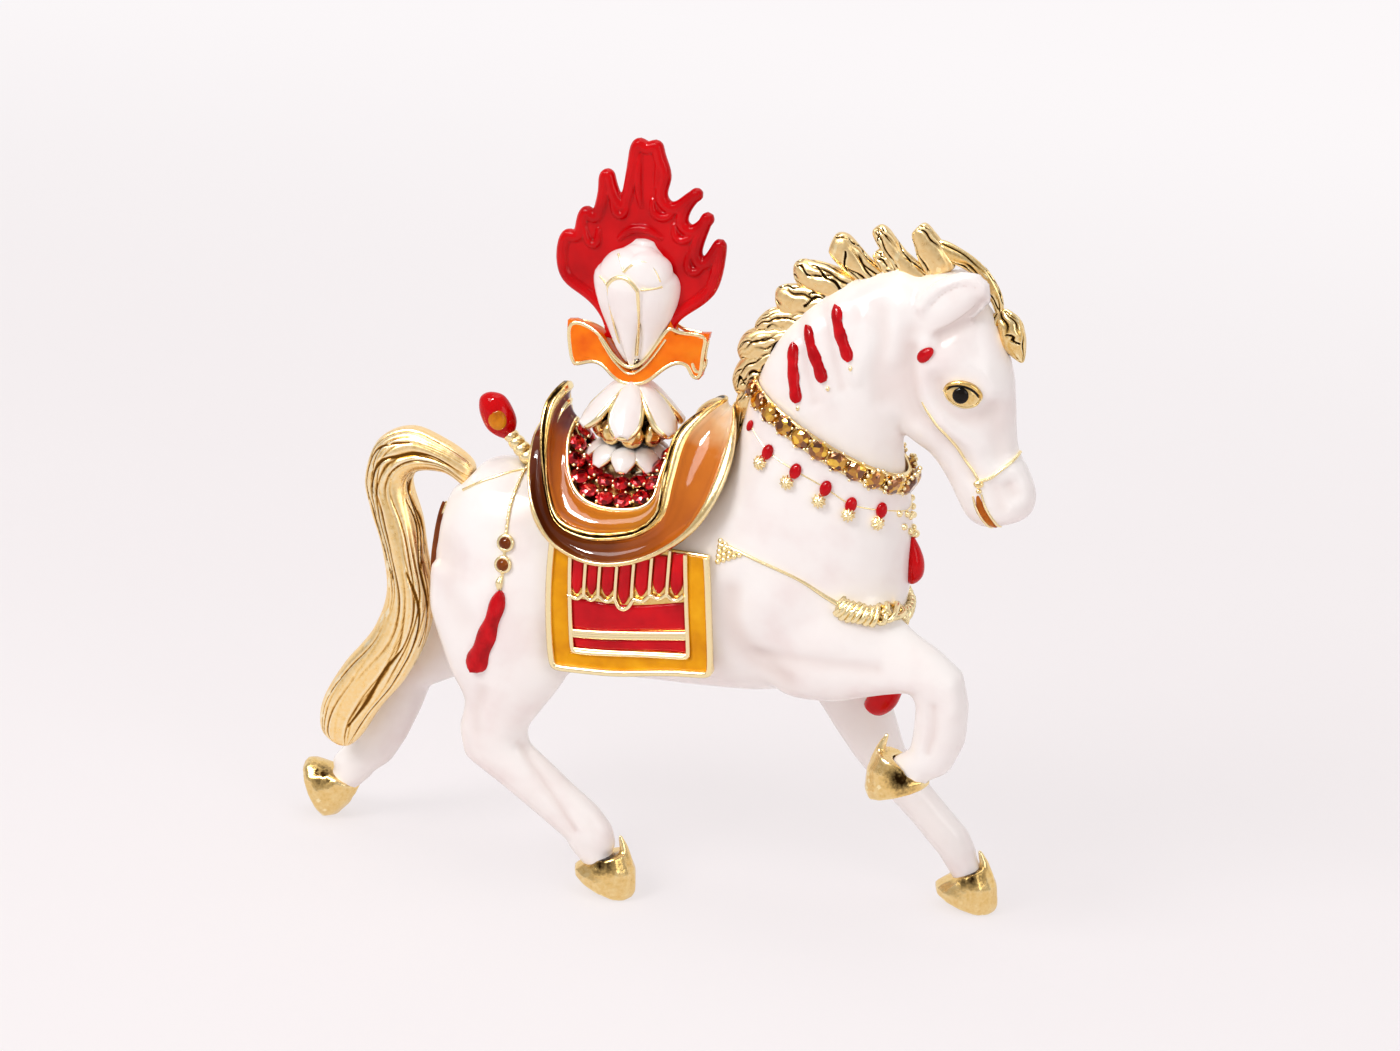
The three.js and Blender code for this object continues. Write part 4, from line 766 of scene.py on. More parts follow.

# %% [markdown]
# The enamel of the saddle changes its colour round the saddle, and much of that change is painted light
# and shade: a cream highlight at the pommel, clear orange down its side, deep brown shade below and behind,
# and a mauve shade inside the cantle. The sheets that make the saddle keep a UV map that counts the turn
# from pommel to pommel, and a colour ramp follows it, blurred by a slow noise.

# %% Saddle enamels
def turned_enamel(name, stops):
    """Saddle enamel whose colours, with painted light and shade, go from the pommel, at 0, to the cantle, at
    1.
    """
    blur, cloud, wave, wave_depth = 0.16, 3.5, 2.5, 0.06
    material, tree, shader, place = start_material(name)
    map_place = add_node(tree, "TexCoord", out="UV")
    turn = add_node(tree, "SeparateXYZ", {"Vector": map_place}, out="X")
    share = add_node(tree, "Math", {0: turn, 1: 0.5}, operation="PINGPONG")
    clouds = add_node(tree, "TexNoise", {"Vector": place, "Scale": per_mm(cloud), "Detail": 3.0})
    moved = add_node(tree, "Math", {0: share, 1: 2.0, 2: -blur / 2}, operation="MULTIPLY_ADD")
    spot = add_node(tree, "Math", {0: clouds, 1: blur, 2: moved}, operation="MULTIPLY_ADD")
    colour = add_node(tree, "ValToRGB", {"Fac": spot}, stops=stops)
    # Painted shade: creases darken toward a brown.
    crevice = add_node(tree, "NewGeometry", out="Pointiness")
    crease_shade_ramp = add_node(tree, "ValToRGB", {"Fac": crevice}, stops=[(0.46, "#a08070"), (0.5, "#ffffff")])
    crease_shaded_turn_colour = add_node(tree, "Mix", {0: 1.0, 6: colour, 7: crease_shade_ramp}, out=2,
                        data_type="RGBA", blend_type="MULTIPLY")
    waves = add_node(tree, "TexNoise", {"Vector": place, "Scale": per_mm(wave), "Detail": 1.0})
    relief = add_node(tree, "Bump", {"Height": waves, "Distance": wave_depth * mm})
    feed(tree, shader, {"Base Color": crease_shaded_turn_colour, "Roughness": 0.06, "Specular IOR Level": 0.3,
                        "Normal": relief})
    return material


# Both ramps paint light and shade: a pale highlight at the pommel, brown and mauve shade toward the cantle.
skirt_amber = turned_enamel("amber_cold_enamel_of_the_skirt", [
    (0.02, "#f1e2cc"), (0.1, "#e2b07c"), (0.18, "#cf7420"), (0.38, "#bb5f16"), (0.52, "#8a4312"),
    (0.72, "#5a2409"), (1.0, "#6d3018"),
])
band_honey = turned_enamel("honey_cold_enamel_of_the_seat", [
    (0.0, "#dcae7a"), (0.12, "#c8791f"), (0.4, "#d98a18"), (0.62, "#cf7415"), (0.85, "#b5571a"),
    (0.94, "#7c4a4c"), (1.0, "#6d4450"),
])
print(skirt_amber.name, "and", band_honey.name)

# %% [markdown]
# The saddle is cast gold with two cells of enamel. Three loops carry its form: the rim of the skirt, the
# bold ridge, and the edge of the seat. Each runs from the pommel down one side to the cantle and back up
# the other. A place on it is a turn round the loops, a share of the way across them, and a lift off that
# surface, so that rolls, hollows and bands can be drawn as one section and swept round.

# %% Saddle loops
skirt_rim = [
    (6.2, 0, 61.6), (7.4, 3.6, 60.2), (7.7, 6.6, 57.0), (6.9, 9.0, 53.2), (4.8, 10.2, 49.2),
    (1.2, 10.5, 45.9), (-3.0, 10.6, 43.8), (-7.6, 10.6, 43.3), (-12.0, 10.3, 45.0), (-14.8, 9.2, 48.4),
    (-16.2, 6.6, 51.6), (-16.9, 3.4, 54.2), (-17.1, 0, 55.4),
]
saddle_ridge = [
    (5.2, 0, 61.7), (3.4, 2.3, 60.8), (1.1, 4.3, 58.2), (0.6, 6.6, 53.8), (0.5, 8.4, 49.8),
    (-1.6, 9.1, 47.5), (-4.6, 9.4, 46.5), (-8.2, 9.4, 46.1), (-11.8, 8.8, 47.0), (-14.0, 7.0, 50.2),
    (-15.2, 5.0, 54.8), (-15.3, 2.7, 59.0), (-14.2, 0, 60.9),
]
seat_edge = [
    (1.4, 0, 57.6), (0.2, 1.8, 56.4), (-0.6, 3.4, 54.8), (-0.8, 5.0, 52.8), (-1.0, 6.3, 51.0),
    (-2.2, 7.0, 49.8), (-4.6, 7.3, 49.2), (-7.6, 7.3, 49.2), (-10.0, 6.7, 50.0), (-11.6, 5.4, 51.6),
    (-12.5, 3.9, 53.4), (-12.9, 2.1, 55.4), (-12.8, 0, 56.8),
]


def half_circle(radius, height):
    """Half a round loop about the pin, from the front to the back."""
    turns = [math.pi * k / 12 for k in range(13)]
    return [(pin_x + radius * math.cos(turn), radius * math.sin(turn), height) for turn in turns]


saddle_loops = [skirt_rim, saddle_ridge, seat_edge, half_circle(3.4, 52.2), half_circle(1.2, 52.4)]
print("the ridge rises to", max(z for x, y, z in saddle_ridge), "mm")

# %% [markdown]
# A loop is drawn for one side only and mirrored for the other. The surface between two loops is straight,
# and its normal is measured by small steps along it and across it.

# %% Places on the saddle
def flip(place):
    return place[0], -place[1], place[2]


def on_loop(loop, turn):
    """A place on a loop, with turn from 0 at the pommel, down the right side first, to 1."""
    turn %= 1
    side, share = (-1, turn * 2) if turn <= 0.5 else (1, 2 - turn * 2)
    whole = [flip(loop[1]), *loop, flip(loop[-2])]
    x, y, z = smooth(whole, (1 + share * (len(loop) - 1)) / (len(whole) - 1))
    return Vector((x, side * y, z))


def on_saddle(turn, across, lift=0.0):
    """A place on the saddle in drawing millimetres: across counts the loops inward from the rim."""
    def plain(turn, across):
        low = min(max(int(math.floor(across)), 0), len(saddle_loops) - 2)
        one, two = on_loop(saddle_loops[low], turn), on_loop(saddle_loops[low + 1], turn)
        return one.lerp(two, across - low)

    def normal_at(across):
        inward = plain(turn, across + 0.05) - plain(turn, across - 0.05)
        round_it = plain(turn + 0.01, across) - plain(turn - 0.01, across)
        return inward.cross(round_it).normalized()

    normal = (normal_at(across - 0.08) + normal_at(across) + normal_at(across + 0.08)).normalized()
    return plain(turn, across) + normal * lift


print("right side of the ridge", on_saddle(0.25, 1, 0.5), on_saddle(0.25, 1, 0))

# %% [markdown]
# The gold casting is one closed section swept round the loops: a small roll at the rim, two bold rolls with
# a groove between them on the ridge, and a fine roll round the seat. Painted shade darkens that groove, in
# patches of uneven strength.

# %% Saddle casting
def swept(name, section):
    """A closed band round the saddle; the section lists (across, lift) pairs."""
    turns, steps, seam = 110, 3, 0.02
    number = len(section)

    def place(u, v):
        spot = v * number
        i = min(int(spot), number - 1)
        near = [section[(i + k) % number] for k in (-1, 0, 1, 2)]
        across, lift = smooth(near, (1 + spot - i) / 3)
        return on_saddle(u, across, lift)

    return tidy_mesh(sheet(name, turns, number * steps, place), seam)


saddle_section = [
    (0.10, -1.0), (-0.03, -0.55), (-0.05, 0.0), (0.0, 0.26), (0.08, 0.3), (0.14, 0.0), (0.2, -0.5),
    (0.5, -0.75), (0.76, -0.4), (0.83, 0.15), (0.89, 0.62), (0.95, 0.7), (1.0, 0.42), (1.05, 0.68),
    (1.12, 0.62), (1.2, 0.1), (1.3, -0.45), (1.6, -0.6), (1.86, -0.3), (1.93, 0.12), (2.0, 0.26),
    (2.07, 0.05), (2.15, -0.6), (2.6, -0.7), (3.0, -0.6), (3.9, -0.6), (4.0, -1.4), (3.5, -2.2),
    (2.4, -2.0), (1.5, -1.6), (0.7, -1.6),
]
saddle = swept("saddle_gold", saddle_section)
groove_steps = 330
groove = np.array([on_saddle(k / groove_steps, 0.99, 0.45) for k in range(groove_steps)])
groove_chance = random.Random(12)


def groove_shade(place):
    """Painted shade in patches along the groove between the ridge's two rolls."""
    gap = np.sqrt(((groove - np.array(place)) ** 2).sum(axis=1)).min()
    return max(0.0, 1 - gap / 0.8) * groove_chance.uniform(0.0, 1.3)


# Painted shade in the groove.
paint(saddle, "wash_and_shade", groove_shade)
finish(saddle, bright_gold, "gold_plate", "saddle")

# %% [markdown]
# The two cells hold the enamel. Each pool is a shallow hollow between its gold walls, because the resin
# creeps up at them while it cures, and it is closed underneath inside the casting.

# %% Saddle pools
skirt_section = [
    (0.11, -0.2), (0.12, 0.16), (0.22, -0.08), (0.36, -0.3), (0.5, -0.4), (0.64, -0.34), (0.78, -0.02),
    (0.86, 0.34), (0.88, 0.0), (0.7, -0.7), (0.5, -0.9), (0.24, -0.7),
]
finish(swept("skirt_enamel_pool", skirt_section), skirt_amber, "amber_enamel", "skirt_enamel")

band_section = [
    (1.16, -0.1), (1.18, 0.2), (1.32, -0.12), (1.55, -0.26), (1.78, -0.16), (1.92, 0.06), (1.94, -0.2),
    (1.6, -0.8), (1.3, -0.6),
]
finish(swept("seat_band_pool", band_section), band_honey, "orange_enamel", "seat_band_enamel")

# %% [markdown]
# The stones are cut glass with a foil behind them. The foil sends the light back through the tinted glass,
# so a stone looks like coloured metal seen through facets: some facets flash, their neighbours are nearly
# black. Small cells of lighter and darker colour inside the stone paint the glints and dark reflections of
# the facets of its back. The saddle's stones are ruby red.

# %% Cut glass
def cut_glass(name, dark, body, painted_glint, cell=0.5, coat=1.0):
    """Foiled glass: its colours are painted glints and dark reflections of back facets, each as wide as a
    cell in millimetres.
    """
    material, tree, shader, place = start_material(name)
    # Painted glints and dark reflections: each cell takes the dark, body or glint colour.
    facets = add_node(tree, "TexVoronoi", {"Vector": place, "Scale": per_mm(cell)}, out="Color")
    grey = add_node(tree, "RGBToBW", {"Color": facets})
    colour = add_node(tree, "ValToRGB", {"Fac": grey}, stops=[(0.2, dark), (0.5, body), (0.85, painted_glint)])
    feed(tree, shader, {"Base Color": colour, "Metallic": 0.6, "Roughness": 0.06, "Coat Weight": coat,
                        "Coat Roughness": 0.02})
    return material


ruby = cut_glass("ruby_cut_glass", "#4a0006", "#ac000e", "#ee1220", coat=0.35)
print(ruby.name, "ready")

# %% [markdown]
# Each stone is round, with a flat table and two rows of facets. One stone is cut from a sphere, whose rings
# are moved to the heights and widths of a real cut, and it is then copied to its places.

# %% Cut stones
def cut_stone(name, radius):
    """A round cut stone at the origin, its table up: a sphere's rings are turned, flattened and split."""
    segments = 10
    deselect()
    bpy.ops.mesh.primitive_uv_sphere_add(segments=segments, ring_count=6, radius=1)
    piece = bpy.context.object
    piece.name = name
    rings = sorted({round(vertex.co.z, 3) for vertex in piece.data.vertices})
    heights = dict(zip(rings, (-0.55, -0.3, -0.05, 0.1, 0.3, 0.46, 0.46)))
    widths = dict(zip(rings, (0, 0.6, 0.96, 1.0, 0.82, 0.52, 0)))
    for vertex in piece.data.vertices:
        ring = round(vertex.co.z, 3)
        angle = math.atan2(vertex.co.y, vertex.co.x) + (math.pi / segments) * (rings.index(ring) % 2)
        reach = widths[ring] * radius * mm
        vertex.co = (reach * math.cos(angle), reach * math.sin(angle), heights[ring] * radius * mm)
    return edit_all(piece, (bpy.ops.mesh.quads_convert_to_tris, {}),
                    (bpy.ops.mesh.normals_make_consistent, {"inside": False}))


def set_copy(pattern, place, normal, turn=0.0, scale=1.0):
    """A copy with its own mesh, set at a place in metres with its top along the normal."""
    copy = add_object(pattern.name, pattern.data.copy())
    lie = turned_to(normal, (0.3, 0.2, 1)).to_4x4() @ Matrix.Rotation(turn, 4, "Z")
    copy.data.transform(Matrix.Translation(place) @ lie @ Matrix.Scale(scale, 4))
    return copy


def drop(*pieces):
    """Throws patterns away once their copies are set."""
    for piece in pieces:
        bpy.data.objects.remove(piece, do_unlink=True)


ruby_pattern = cut_stone("ruby_pattern", 1.13)
print("one stone has", len(ruby_pattern.data.polygons), "facets")

# %% [markdown]
# The seat is paved with stones of about two millimetres in two rows. Each row is walked in steps of equal
# length, so that the stones nearly touch, and each is turned by chance, as set by hand. Three small gold
# beads hold each stone, as on real paved work.

# %% Seat stones
chance = random.Random(7)
bead_pattern = ball("bead_pattern", Vector(), (0.24, 0.24, 0.24), segments=8, rings=5)
seat_gems, seat_beads = [], []
seat_rows = ((2.26, 22, 1.0, 0.0), (2.72, 15, 0.95, 0.5))
arc_steps, beads_per_stone, bead_ring_radius = 400, 3, 1.08
for across, count, size, ahead in seat_rows:
    arc = [on_saddle(k / arc_steps, across) for k in range(arc_steps + 1)]
    walked = [0.0]
    for one, two in zip(arc, arc[1:]):
        walked.append(walked[-1] + (two - one).length)
    for n in range(count):
        target = walked[-1] * (n + ahead) / count
        turn = next(k for k, reach in enumerate(walked) if reach >= target) / arc_steps
        spot = on_saddle(turn, across, 0.1)
        normal = on_saddle(turn, across, 1) - on_saddle(turn, across)
        normal = (normal + Vector((0, 0, 0.35))).normalized()
        seat_gems.append(set_copy(ruby_pattern, at(*spot), normal, chance.random() * 3, size))
        for m in range(beads_per_stone):
            angle = 2.1 * m + chance.random()
            lie = turned_to(normal)
            rim = lie @ Vector((math.cos(angle), math.sin(angle), 0.1)) * bead_ring_radius * size
            seat_beads.append(set_copy(bead_pattern, at(*(spot + rim)), normal))
gems = joined("pave_rubies", seat_gems)
finish(gems, ruby, "ruby_crystal", "pave", angle=0)
finish(joined("pave_gold_beads", seat_beads), bright_gold, "gold_plate", "pave")
drop(ruby_pattern)
print(len(seat_gems), "seat stones")

# %% [markdown]
# The saddle cloth is a gold plate with enamel poured between raised gold lines: a yellow border, a fringe
# of seven red cells, and two crimson bands with a bright bar between. Everything lies on the plate's own
# face, so each line and pool is drawn in the side view and laid on that face by looking along y.

# %% Cloth face
cloth_heights = [29.6, 31, 33, 35, 37, 39, 41, 43, 45]


def cloth_reach(side):
    """How far out the cloth's face lies at each of the heights, in millimetres."""
    flap = frame["nodes"]["cloth_right" if side == 1 else "cloth_left"].data
    corners = [vertex.co.copy() for vertex in flap.vertices]
    faces = BVHTree.FromPolygons(corners, [list(face.vertices) for face in flap.polygons])
    hits = [faces.ray_cast(at(-8, -side * 30, z), Vector((0, side, 0)))[0] for z in cloth_heights]
    return [abs(drawn(hit).y) for hit in hits]


cloth_reaches = {side: cloth_reach(side) for side_name, side in sides}
print("cloth reach", [round(r, 2) for r in cloth_reaches[1]])

# %% [markdown]
# A line is a cord over places of that face. A pool is a domed sheet between two lines, given a wall inward.
# A sheet has no inside of its own, so it is turned over first where it faces the horse.

# %% Lines and pools of the cloth
def on_cloth(side, x, z, lift=0.0):
    """A place on the cloth's face in drawing millimetres, lifted off it."""
    reaches = cloth_reaches[side]
    spans = len(cloth_heights) - 1
    spot = min(max((z - cloth_heights[0]) / (cloth_heights[-1] - cloth_heights[0]), 0), 1) * spans
    i = min(int(spot), spans - 1)
    reach = reaches[i] + (reaches[i + 1] - reaches[i]) * (spot - i)
    return x, -side * (reach + lift), z


def cloth_line(side, name, line, radius, lift=0.35):
    return cord(name, [at(*on_cloth(side, x, z, lift)) for x, z in line], radius, per_span=3)


def walled(piece, side, depth):
    """Turns a sheet of the cloth outwards and gives it a wall of this depth behind."""
    if piece.data.polygons[0].normal.y * side > 0:
        edit_all(piece, (bpy.ops.mesh.flip_normals, {}))
    return apply_modifier(piece, "SOLIDIFY", thickness=depth * mm, offset=-1)


def cloth_pool(side, name, lower, upper, dome, columns=24, rows=10, lift=0.05):
    """Enamel between a lower and an upper line, domed and closed at the back."""
    def place(u, v):
        x0, z0 = smooth(lower, u)
        x1, z1 = smooth(upper, u)
        bulge = dome * (1 - (2 * v - 1) ** 4) * (1 - (2 * u - 1) ** 6)
        return on_cloth(side, x0 + (x1 - x0) * v, z0 + (z1 - z0) * v, lift + bulge)

    return walled(tidy_mesh(sheet(name, columns, rows, place)), side, 0.5)


print("the cloth's foot is", round(cloth_reaches[1][0], 2), "mm out")

# %% [markdown]
# The lines of the cloth come from its picture. The outer rim is a bold rounded edge that dips a little in
# its lower side. The fringe cells end in soft points, and a wavy gold line runs round under them.

# %% Cloth drawing
cloth_rim = [
    (-12.0, 44.6), (-12.1, 41), (-12.0, 37), (-11.8, 33), (-11.4, 29.9), (-11.1, 29.2), (-10.4, 29.05),
    (-7, 29.3), (-3.2, 29.55), (0.6, 30.4), (4.0, 31.0), (7.2, 31.25), (7.8, 31.5), (7.95, 32.2),
    (7.8, 35.0), (7.4, 39.5), (6.9, 44.0), (6.6, 45.8),
]
inner_rim = [
    (-9.75, 44.4), (-9.6, 41), (-9.35, 37), (-9.1, 33), (-8.95, 31.6), (-8.6, 31.35), (-5.0, 31.75),
    (-1.9, 32.25), (1.8, 32.75), (4.8, 33.05), (5.25, 33.25), (5.2, 34.2), (4.8, 39.0), (4.3, 43.5),
    (4.1, 45.8),
]
cell_edges = [-9.6, -7.75, -6.0, -3.95, -1.95, 0.15, 2.25, 4.3]
cell_tops = [43.6, 43.6, 43.8, 44.2, 44.8, 45.4, 46.0, 46.2]
cell_floors = [38.9, 39.05, 39.2, 38.55, 39.9, 40.6, 40.7]


def cell_pool(side, k):
    """The red of one fringe cell: domed across, and narrowed to its lower end."""
    x0, x1 = cell_edges[k] + 0.2, cell_edges[k + 1] - 0.2
    top, floor = min(cell_tops[k], cell_tops[k + 1]) - 0.2, cell_floors[k]

    def place(u, v):
        narrow = 1 - max(0, (0.34 - v) / 0.34) ** 2 * 0.75
        x = (x0 + x1) / 2 + (u - 0.5) * (x1 - x0) * narrow
        bulge = 0.5 * math.sqrt(max(0, 1 - (2 * u - 1) ** 2)) * min(1, v * 5 + 0.3)
        return on_cloth(side, x, floor + (top - floor) * v, 0.05 + bulge)

    return walled(sheet("cell", 8, 16, place), side, 0.4)


print(len(cell_floors), "cells in the fringe")

# %% [markdown]
# Plate and lines are joined as one casting. The pools go between them. The border is an amber yellow enamel,
# even and warm; the cells and bands are crimson, with painted shade deeper in their creases.

# %% Saddle cloth
border_yellow = enamel("amber_yellow_cold_enamel", "#dc8f04", "#e99f05", "#f2ad12", cloud=3.0)
cloth_red = enamel("crimson_cold_enamel", "#b20815", "#ca0c1a", "#dc0e18")
foot_line = [(-9.0, 31.7), (-5, 32.0), (-1.9, 32.5), (1.8, 33.0), (5.1, 33.4)]
upper_band = ([(-9.1, 34.3), (-5, 34.6), (0, 35.6), (4.7, 36.5)],
              [(-9.3, 38.3), (-5, 38.3), (-1, 38.7), (4.5, 40.0)])
lower_band = ([(-8.8, 31.9), (-5, 32.2), (0, 33.0), (5.0, 33.6)],
              [(-9.0, 33.2), (-5, 33.5), (0, 34.5), (4.9, 35.3)])


def cloth_castings(side_name, side):
    """The plate with its rims, the lines between the cells, the wavy line under them and the bars."""
    lines = [
        fused(copy_of("cloth_plate_" + side_name, "cloth_" + side_name), 0.16, 3),
        cloth_line(side, "rim", cloth_rim, 0.42),
        cloth_line(side, "rim", inner_rim, 0.3),
    ]
    for k, x in enumerate(cell_edges[1:-1]):
        low = max(cell_floors[k], cell_floors[k + 1])
        line = [(x + 0.05, low - 0.3), (x, low + 1.2), (x + 0.03, low + 2.6), (x, cell_tops[k + 1])]
        lines.append(cloth_line(side, "divider", line, 0.24, lift=0.4))
    scallops = [(cell_edges[0], cell_floors[0] - 0.4)]
    for k, floor in enumerate(cell_floors):
        x0, x1 = cell_edges[k], cell_edges[k + 1]
        scallops += [(x0 + 0.3, floor - 0.3), ((x0 + x1) / 2, floor - 0.75), (x1 - 0.3, floor - 0.3),
                     (x1, floor + 0.25)]
    lines.append(cloth_line(side, "scallops", scallops, 0.26))
    for share in (0.2, 0.5, 0.8):
        bar = [(-9.2, 33.3 + share * 0.9), (-5, 33.6 + share * 0.9), (0, 34.6 + share * 0.9),
               (4.9, 35.4 + share * 0.95)]
        lines.append(cloth_line(side, "bar", bar, 0.32, lift=0.2))
    lines.append(cloth_line(side, "foot", foot_line, 0.26, lift=0.3))
    return joined("cloth_gold_" + side_name, lines)


for side_name, side in sides:
    finish(cloth_castings(side_name, side), bright_gold, "gold_plate", "cloth_" + side_name,
           "cloth_grid_" + side_name)
    inner_line = [smooth(inner_rim, k / 17) for k in range(18)]
    border = cloth_pool(side, "cloth_border_pool_" + side_name, cloth_rim, inner_line, 0.2, columns=90,
                        rows=6, lift=0.1)
    finish(border, border_yellow, "yellow_enamel", "cloth_border_" + side_name)
    reds = [cloth_pool(side, "band", lower, upper, 0.22) for lower, upper in (upper_band, lower_band)]
    reds += [cell_pool(side, k) for k in range(len(cell_floors))]
    finish(joined("cloth_red_pools_" + side_name, reds), cloth_red, "red_enamel", "cloth_panel_" + side_name)

# %% [markdown]
# The flame is a cast plate with a rounded, raised rim that follows every tongue and turns in a soft lip
# between two of them. Its outline and the lips are drawn in the side view.

# %% Flame drawing
flame_outline = [
    (-9.6, 67.4), (-9.6, 68.6), (-11.0, 70.9), (-12.9, 72.2), (-14.9, 73.1), (-16.0, 74.6), (-16.3, 76.7),
    (-16.1, 78.5), (-15.5, 79.5), (-14.7, 79.6), (-14.2, 79.2), (-14.1, 80.7), (-13.9, 81.8), (-13.3, 82.6),
    (-12.5, 82.5), (-12.1, 81.6), (-11.9, 83.2), (-11.6, 84.7), (-11.7, 86.3), (-11.4, 87.1), (-10.7, 87.4),
    (-10.1, 87.1), (-9.8, 86.1), (-9.3, 84.8), (-8.8, 83.2), (-8.7, 84.9), (-8.5, 86.8), (-8.3, 88.7),
    (-8.2, 90.3), (-7.8, 91.2), (-7.0, 91.6), (-6.2, 91.0), (-5.3, 91.6), (-4.5, 91.2), (-4.2, 90.0),
    (-3.5, 88.6), (-3.2, 87.3), (-3.6, 86.0), (-3.7, 85.1), (-3.0, 84.3), (-2.3, 84.6), (-1.2, 85.8),
    (-0.1, 86.5), (0.5, 86.3), (0.5, 85.7), (-0.3, 84.7), (-0.9, 83.5), (-1.1, 82.4), (-0.5, 81.9),
    (0.2, 82.4), (0.9, 83.4), (1.6, 83.9), (2.0, 83.4), (1.7, 82.2), (1.1, 80.3), (0.8, 78.6), (1.0, 78.0),
    (1.8, 79.1), (2.5, 80.6), (3.2, 81.0), (3.8, 80.5), (3.8, 78.6), (3.5, 76.3), (2.9, 74.4), (1.2, 72.7),
    (-0.6, 71.4), (-1.7, 70.1), (-2.1, 67.6),
]
flame_lips = [
    [(-10.0, 84.7), (-9.7, 82.8), (-9.0, 82.0), (-8.2, 82.6), (-8.0, 83.9)],
    [(-5.1, 84.8), (-5.2, 83.2), (-4.1, 82.5), (-2.9, 82.9), (-2.5, 83.8)],
    [(-2.4, 82.2), (-2.3, 80.7), (-1.4, 80.1), (-0.4, 80.7), (0.1, 81.5)],
    [(-0.3, 79.2), (-0.7, 77.3), (0.1, 76.5), (1.0, 77.0), (1.6, 78.2)],
    [(-13.1, 80.7), (-12.8, 78.7), (-11.9, 78.1), (-11.2, 78.7), (-11.4, 80.4)],
    [(-8.9, 79.4), (-8.0, 80.6), (-6.5, 81.3), (-4.9, 81.0), (-3.7, 80.2)],
    [(-6.9, 89.9), (-7.1, 87.6), (-7.0, 85.6), (-6.4, 83.6)], [(-4.9, 89.9), (-4.5, 88.0), (-4.8, 86.2)],
]
print("the flame reaches from", min(z for x, z in flame_outline), "to", max(z for x, z in flame_outline))

# %% [markdown]
# A flat curve is filled for the plate, a cord is laid round just inside its outline, and both are fused with
# the lips and smoothed until they look like one pour of enamel over metal. The enamel is the brightest red
# of the piece, and the glossiest, so its rolled edges carry sharp white sparks.

# %% Flame
flame_enamel = enamel("red_cold_enamel", "#b00007", "#cb020a", "#dc060e", cloud=6.0, roughness=0.05,
                      gleam=0.18)


def inset_outline(outline, distance):
    """A closed outline with each of its places moved inward."""
    count = len(outline)
    made = []
    for k, (x, z) in enumerate(outline):
        before, after = Vector(outline[k - 1]), Vector(outline[(k + 1) % count])
        along = (after - before).normalized()
        made.append((x + along.y * distance, z - along.x * distance))
    return made


def plate_piece(name, outline, half, bevel, spread):
    """A plate with a round edge from an outline in the side view, with spread points to each place."""
    curve = bpy.data.curves.new(name, "CURVE")
    curve.dimensions = "2D"
    curve.fill_mode = "BOTH"
    curve.extrude = (half - bevel) * mm
    curve.bevel_depth = bevel * mm
    curve.bevel_resolution = 2
    curve.offset = -bevel * mm
    spline = curve.splines.new("POLY")
    smooth_line = [smooth([outline[-1], *outline, outline[0], outline[1]],
                          (1 + s / spread) / (len(outline) + 2)) for s in range(len(outline) * spread)]
    spline.points.add(len(smooth_line) - 1)
    for point, (x, z) in zip(spline.points, smooth_line):
        point.co = (x * mm, z * mm, 0, 1)
    spline.use_cyclic_u = True
    piece = as_mesh(name, curve)
    piece.data.transform(Matrix.Translation(at(0, 0, 0)) @ Matrix.Rotation(math.pi / 2, 4, "X"))
    return tidy_mesh(piece)


rim_line = [at(x, 0, z) for x, z in inset_outline(flame_outline, 0.62)]
flame_parts = [plate_piece("flame_plate", flame_outline, 0.36, 0.2, spread=3),
               cord("flame_rim", rim_line, 0.8, roundness=3, closed=True)]
for face in (-1, 1):
    for lip in flame_lips:
        spots = [at(x, face * 0.42, z) for x, z in lip]
        flame_parts.append(cord("flame_lip", spots, [0.2] + [0.5] * (len(lip) - 2) + [0.2]))
finish(fused(joined("flame_enamel", flame_parts), 0.125, 3), flame_enamel, "red_enamel", "flame")

# %% [markdown]
# The ribbon crosses in front of and behind the flame's foot as a shallow V. Its face is a clear, even orange
# enamel, and its right end curls down. The body is one thick plate that thins toward both ends, as the
# real one does where it is bent back.

# %% Ribbon
ribbon_orange = enamel("orange_cold_enamel", "#ec6204", "#f87808", "#fb8a14", cloud=3.0)
ribbon_outline = [
    (-14.5, 69.0), (-12.2, 68.9), (-10.1, 68.1), (-8.8, 66.3), (-6.4, 64.1), (-4.2, 66.0), (-2.0, 70.8),
    (-1.2, 69.3), (2.8, 69.9), (2.2, 67.9), (2.3, 64.5), (1.4, 64.0), (0.7, 64.6), (0.4, 65.6),
    (-0.8, 65.9), (-2.4, 64.8), (-4.0, 62.9), (-6.3, 62.3), (-8.1, 62.8), (-9.6, 64.3), (-11.1, 64.5),
    (-12.8, 63.6), (-13.7, 63.7), (-14.2, 66.2),
]


def flatten_ends(piece):
    """Thins the piece from front to back toward both ends of the ribbon."""
    for vertex in piece.data.vertices:
        x, y, z = drawn(vertex.co)
        vertex.co = at(x, y * (1 - 0.6 * min(1, max(0, abs(x - pin_x) - 2.5) / 4)), z)


ribbon_body = plate_piece("ribbon_enamel", inset_outline(ribbon_outline, 0.12), 1.5, 0.25, spread=2)
flatten_ends(ribbon_body)
finish(ribbon_body, ribbon_orange, "orange_enamel", "ribbon", angle=40)

# %% [markdown]
# Gold lines lie on both faces of the ribbon: one round the edge, one along the fold and a curl at the end.
# Thin lines like these are set a little darker, with more of the dark wash and painted shade.

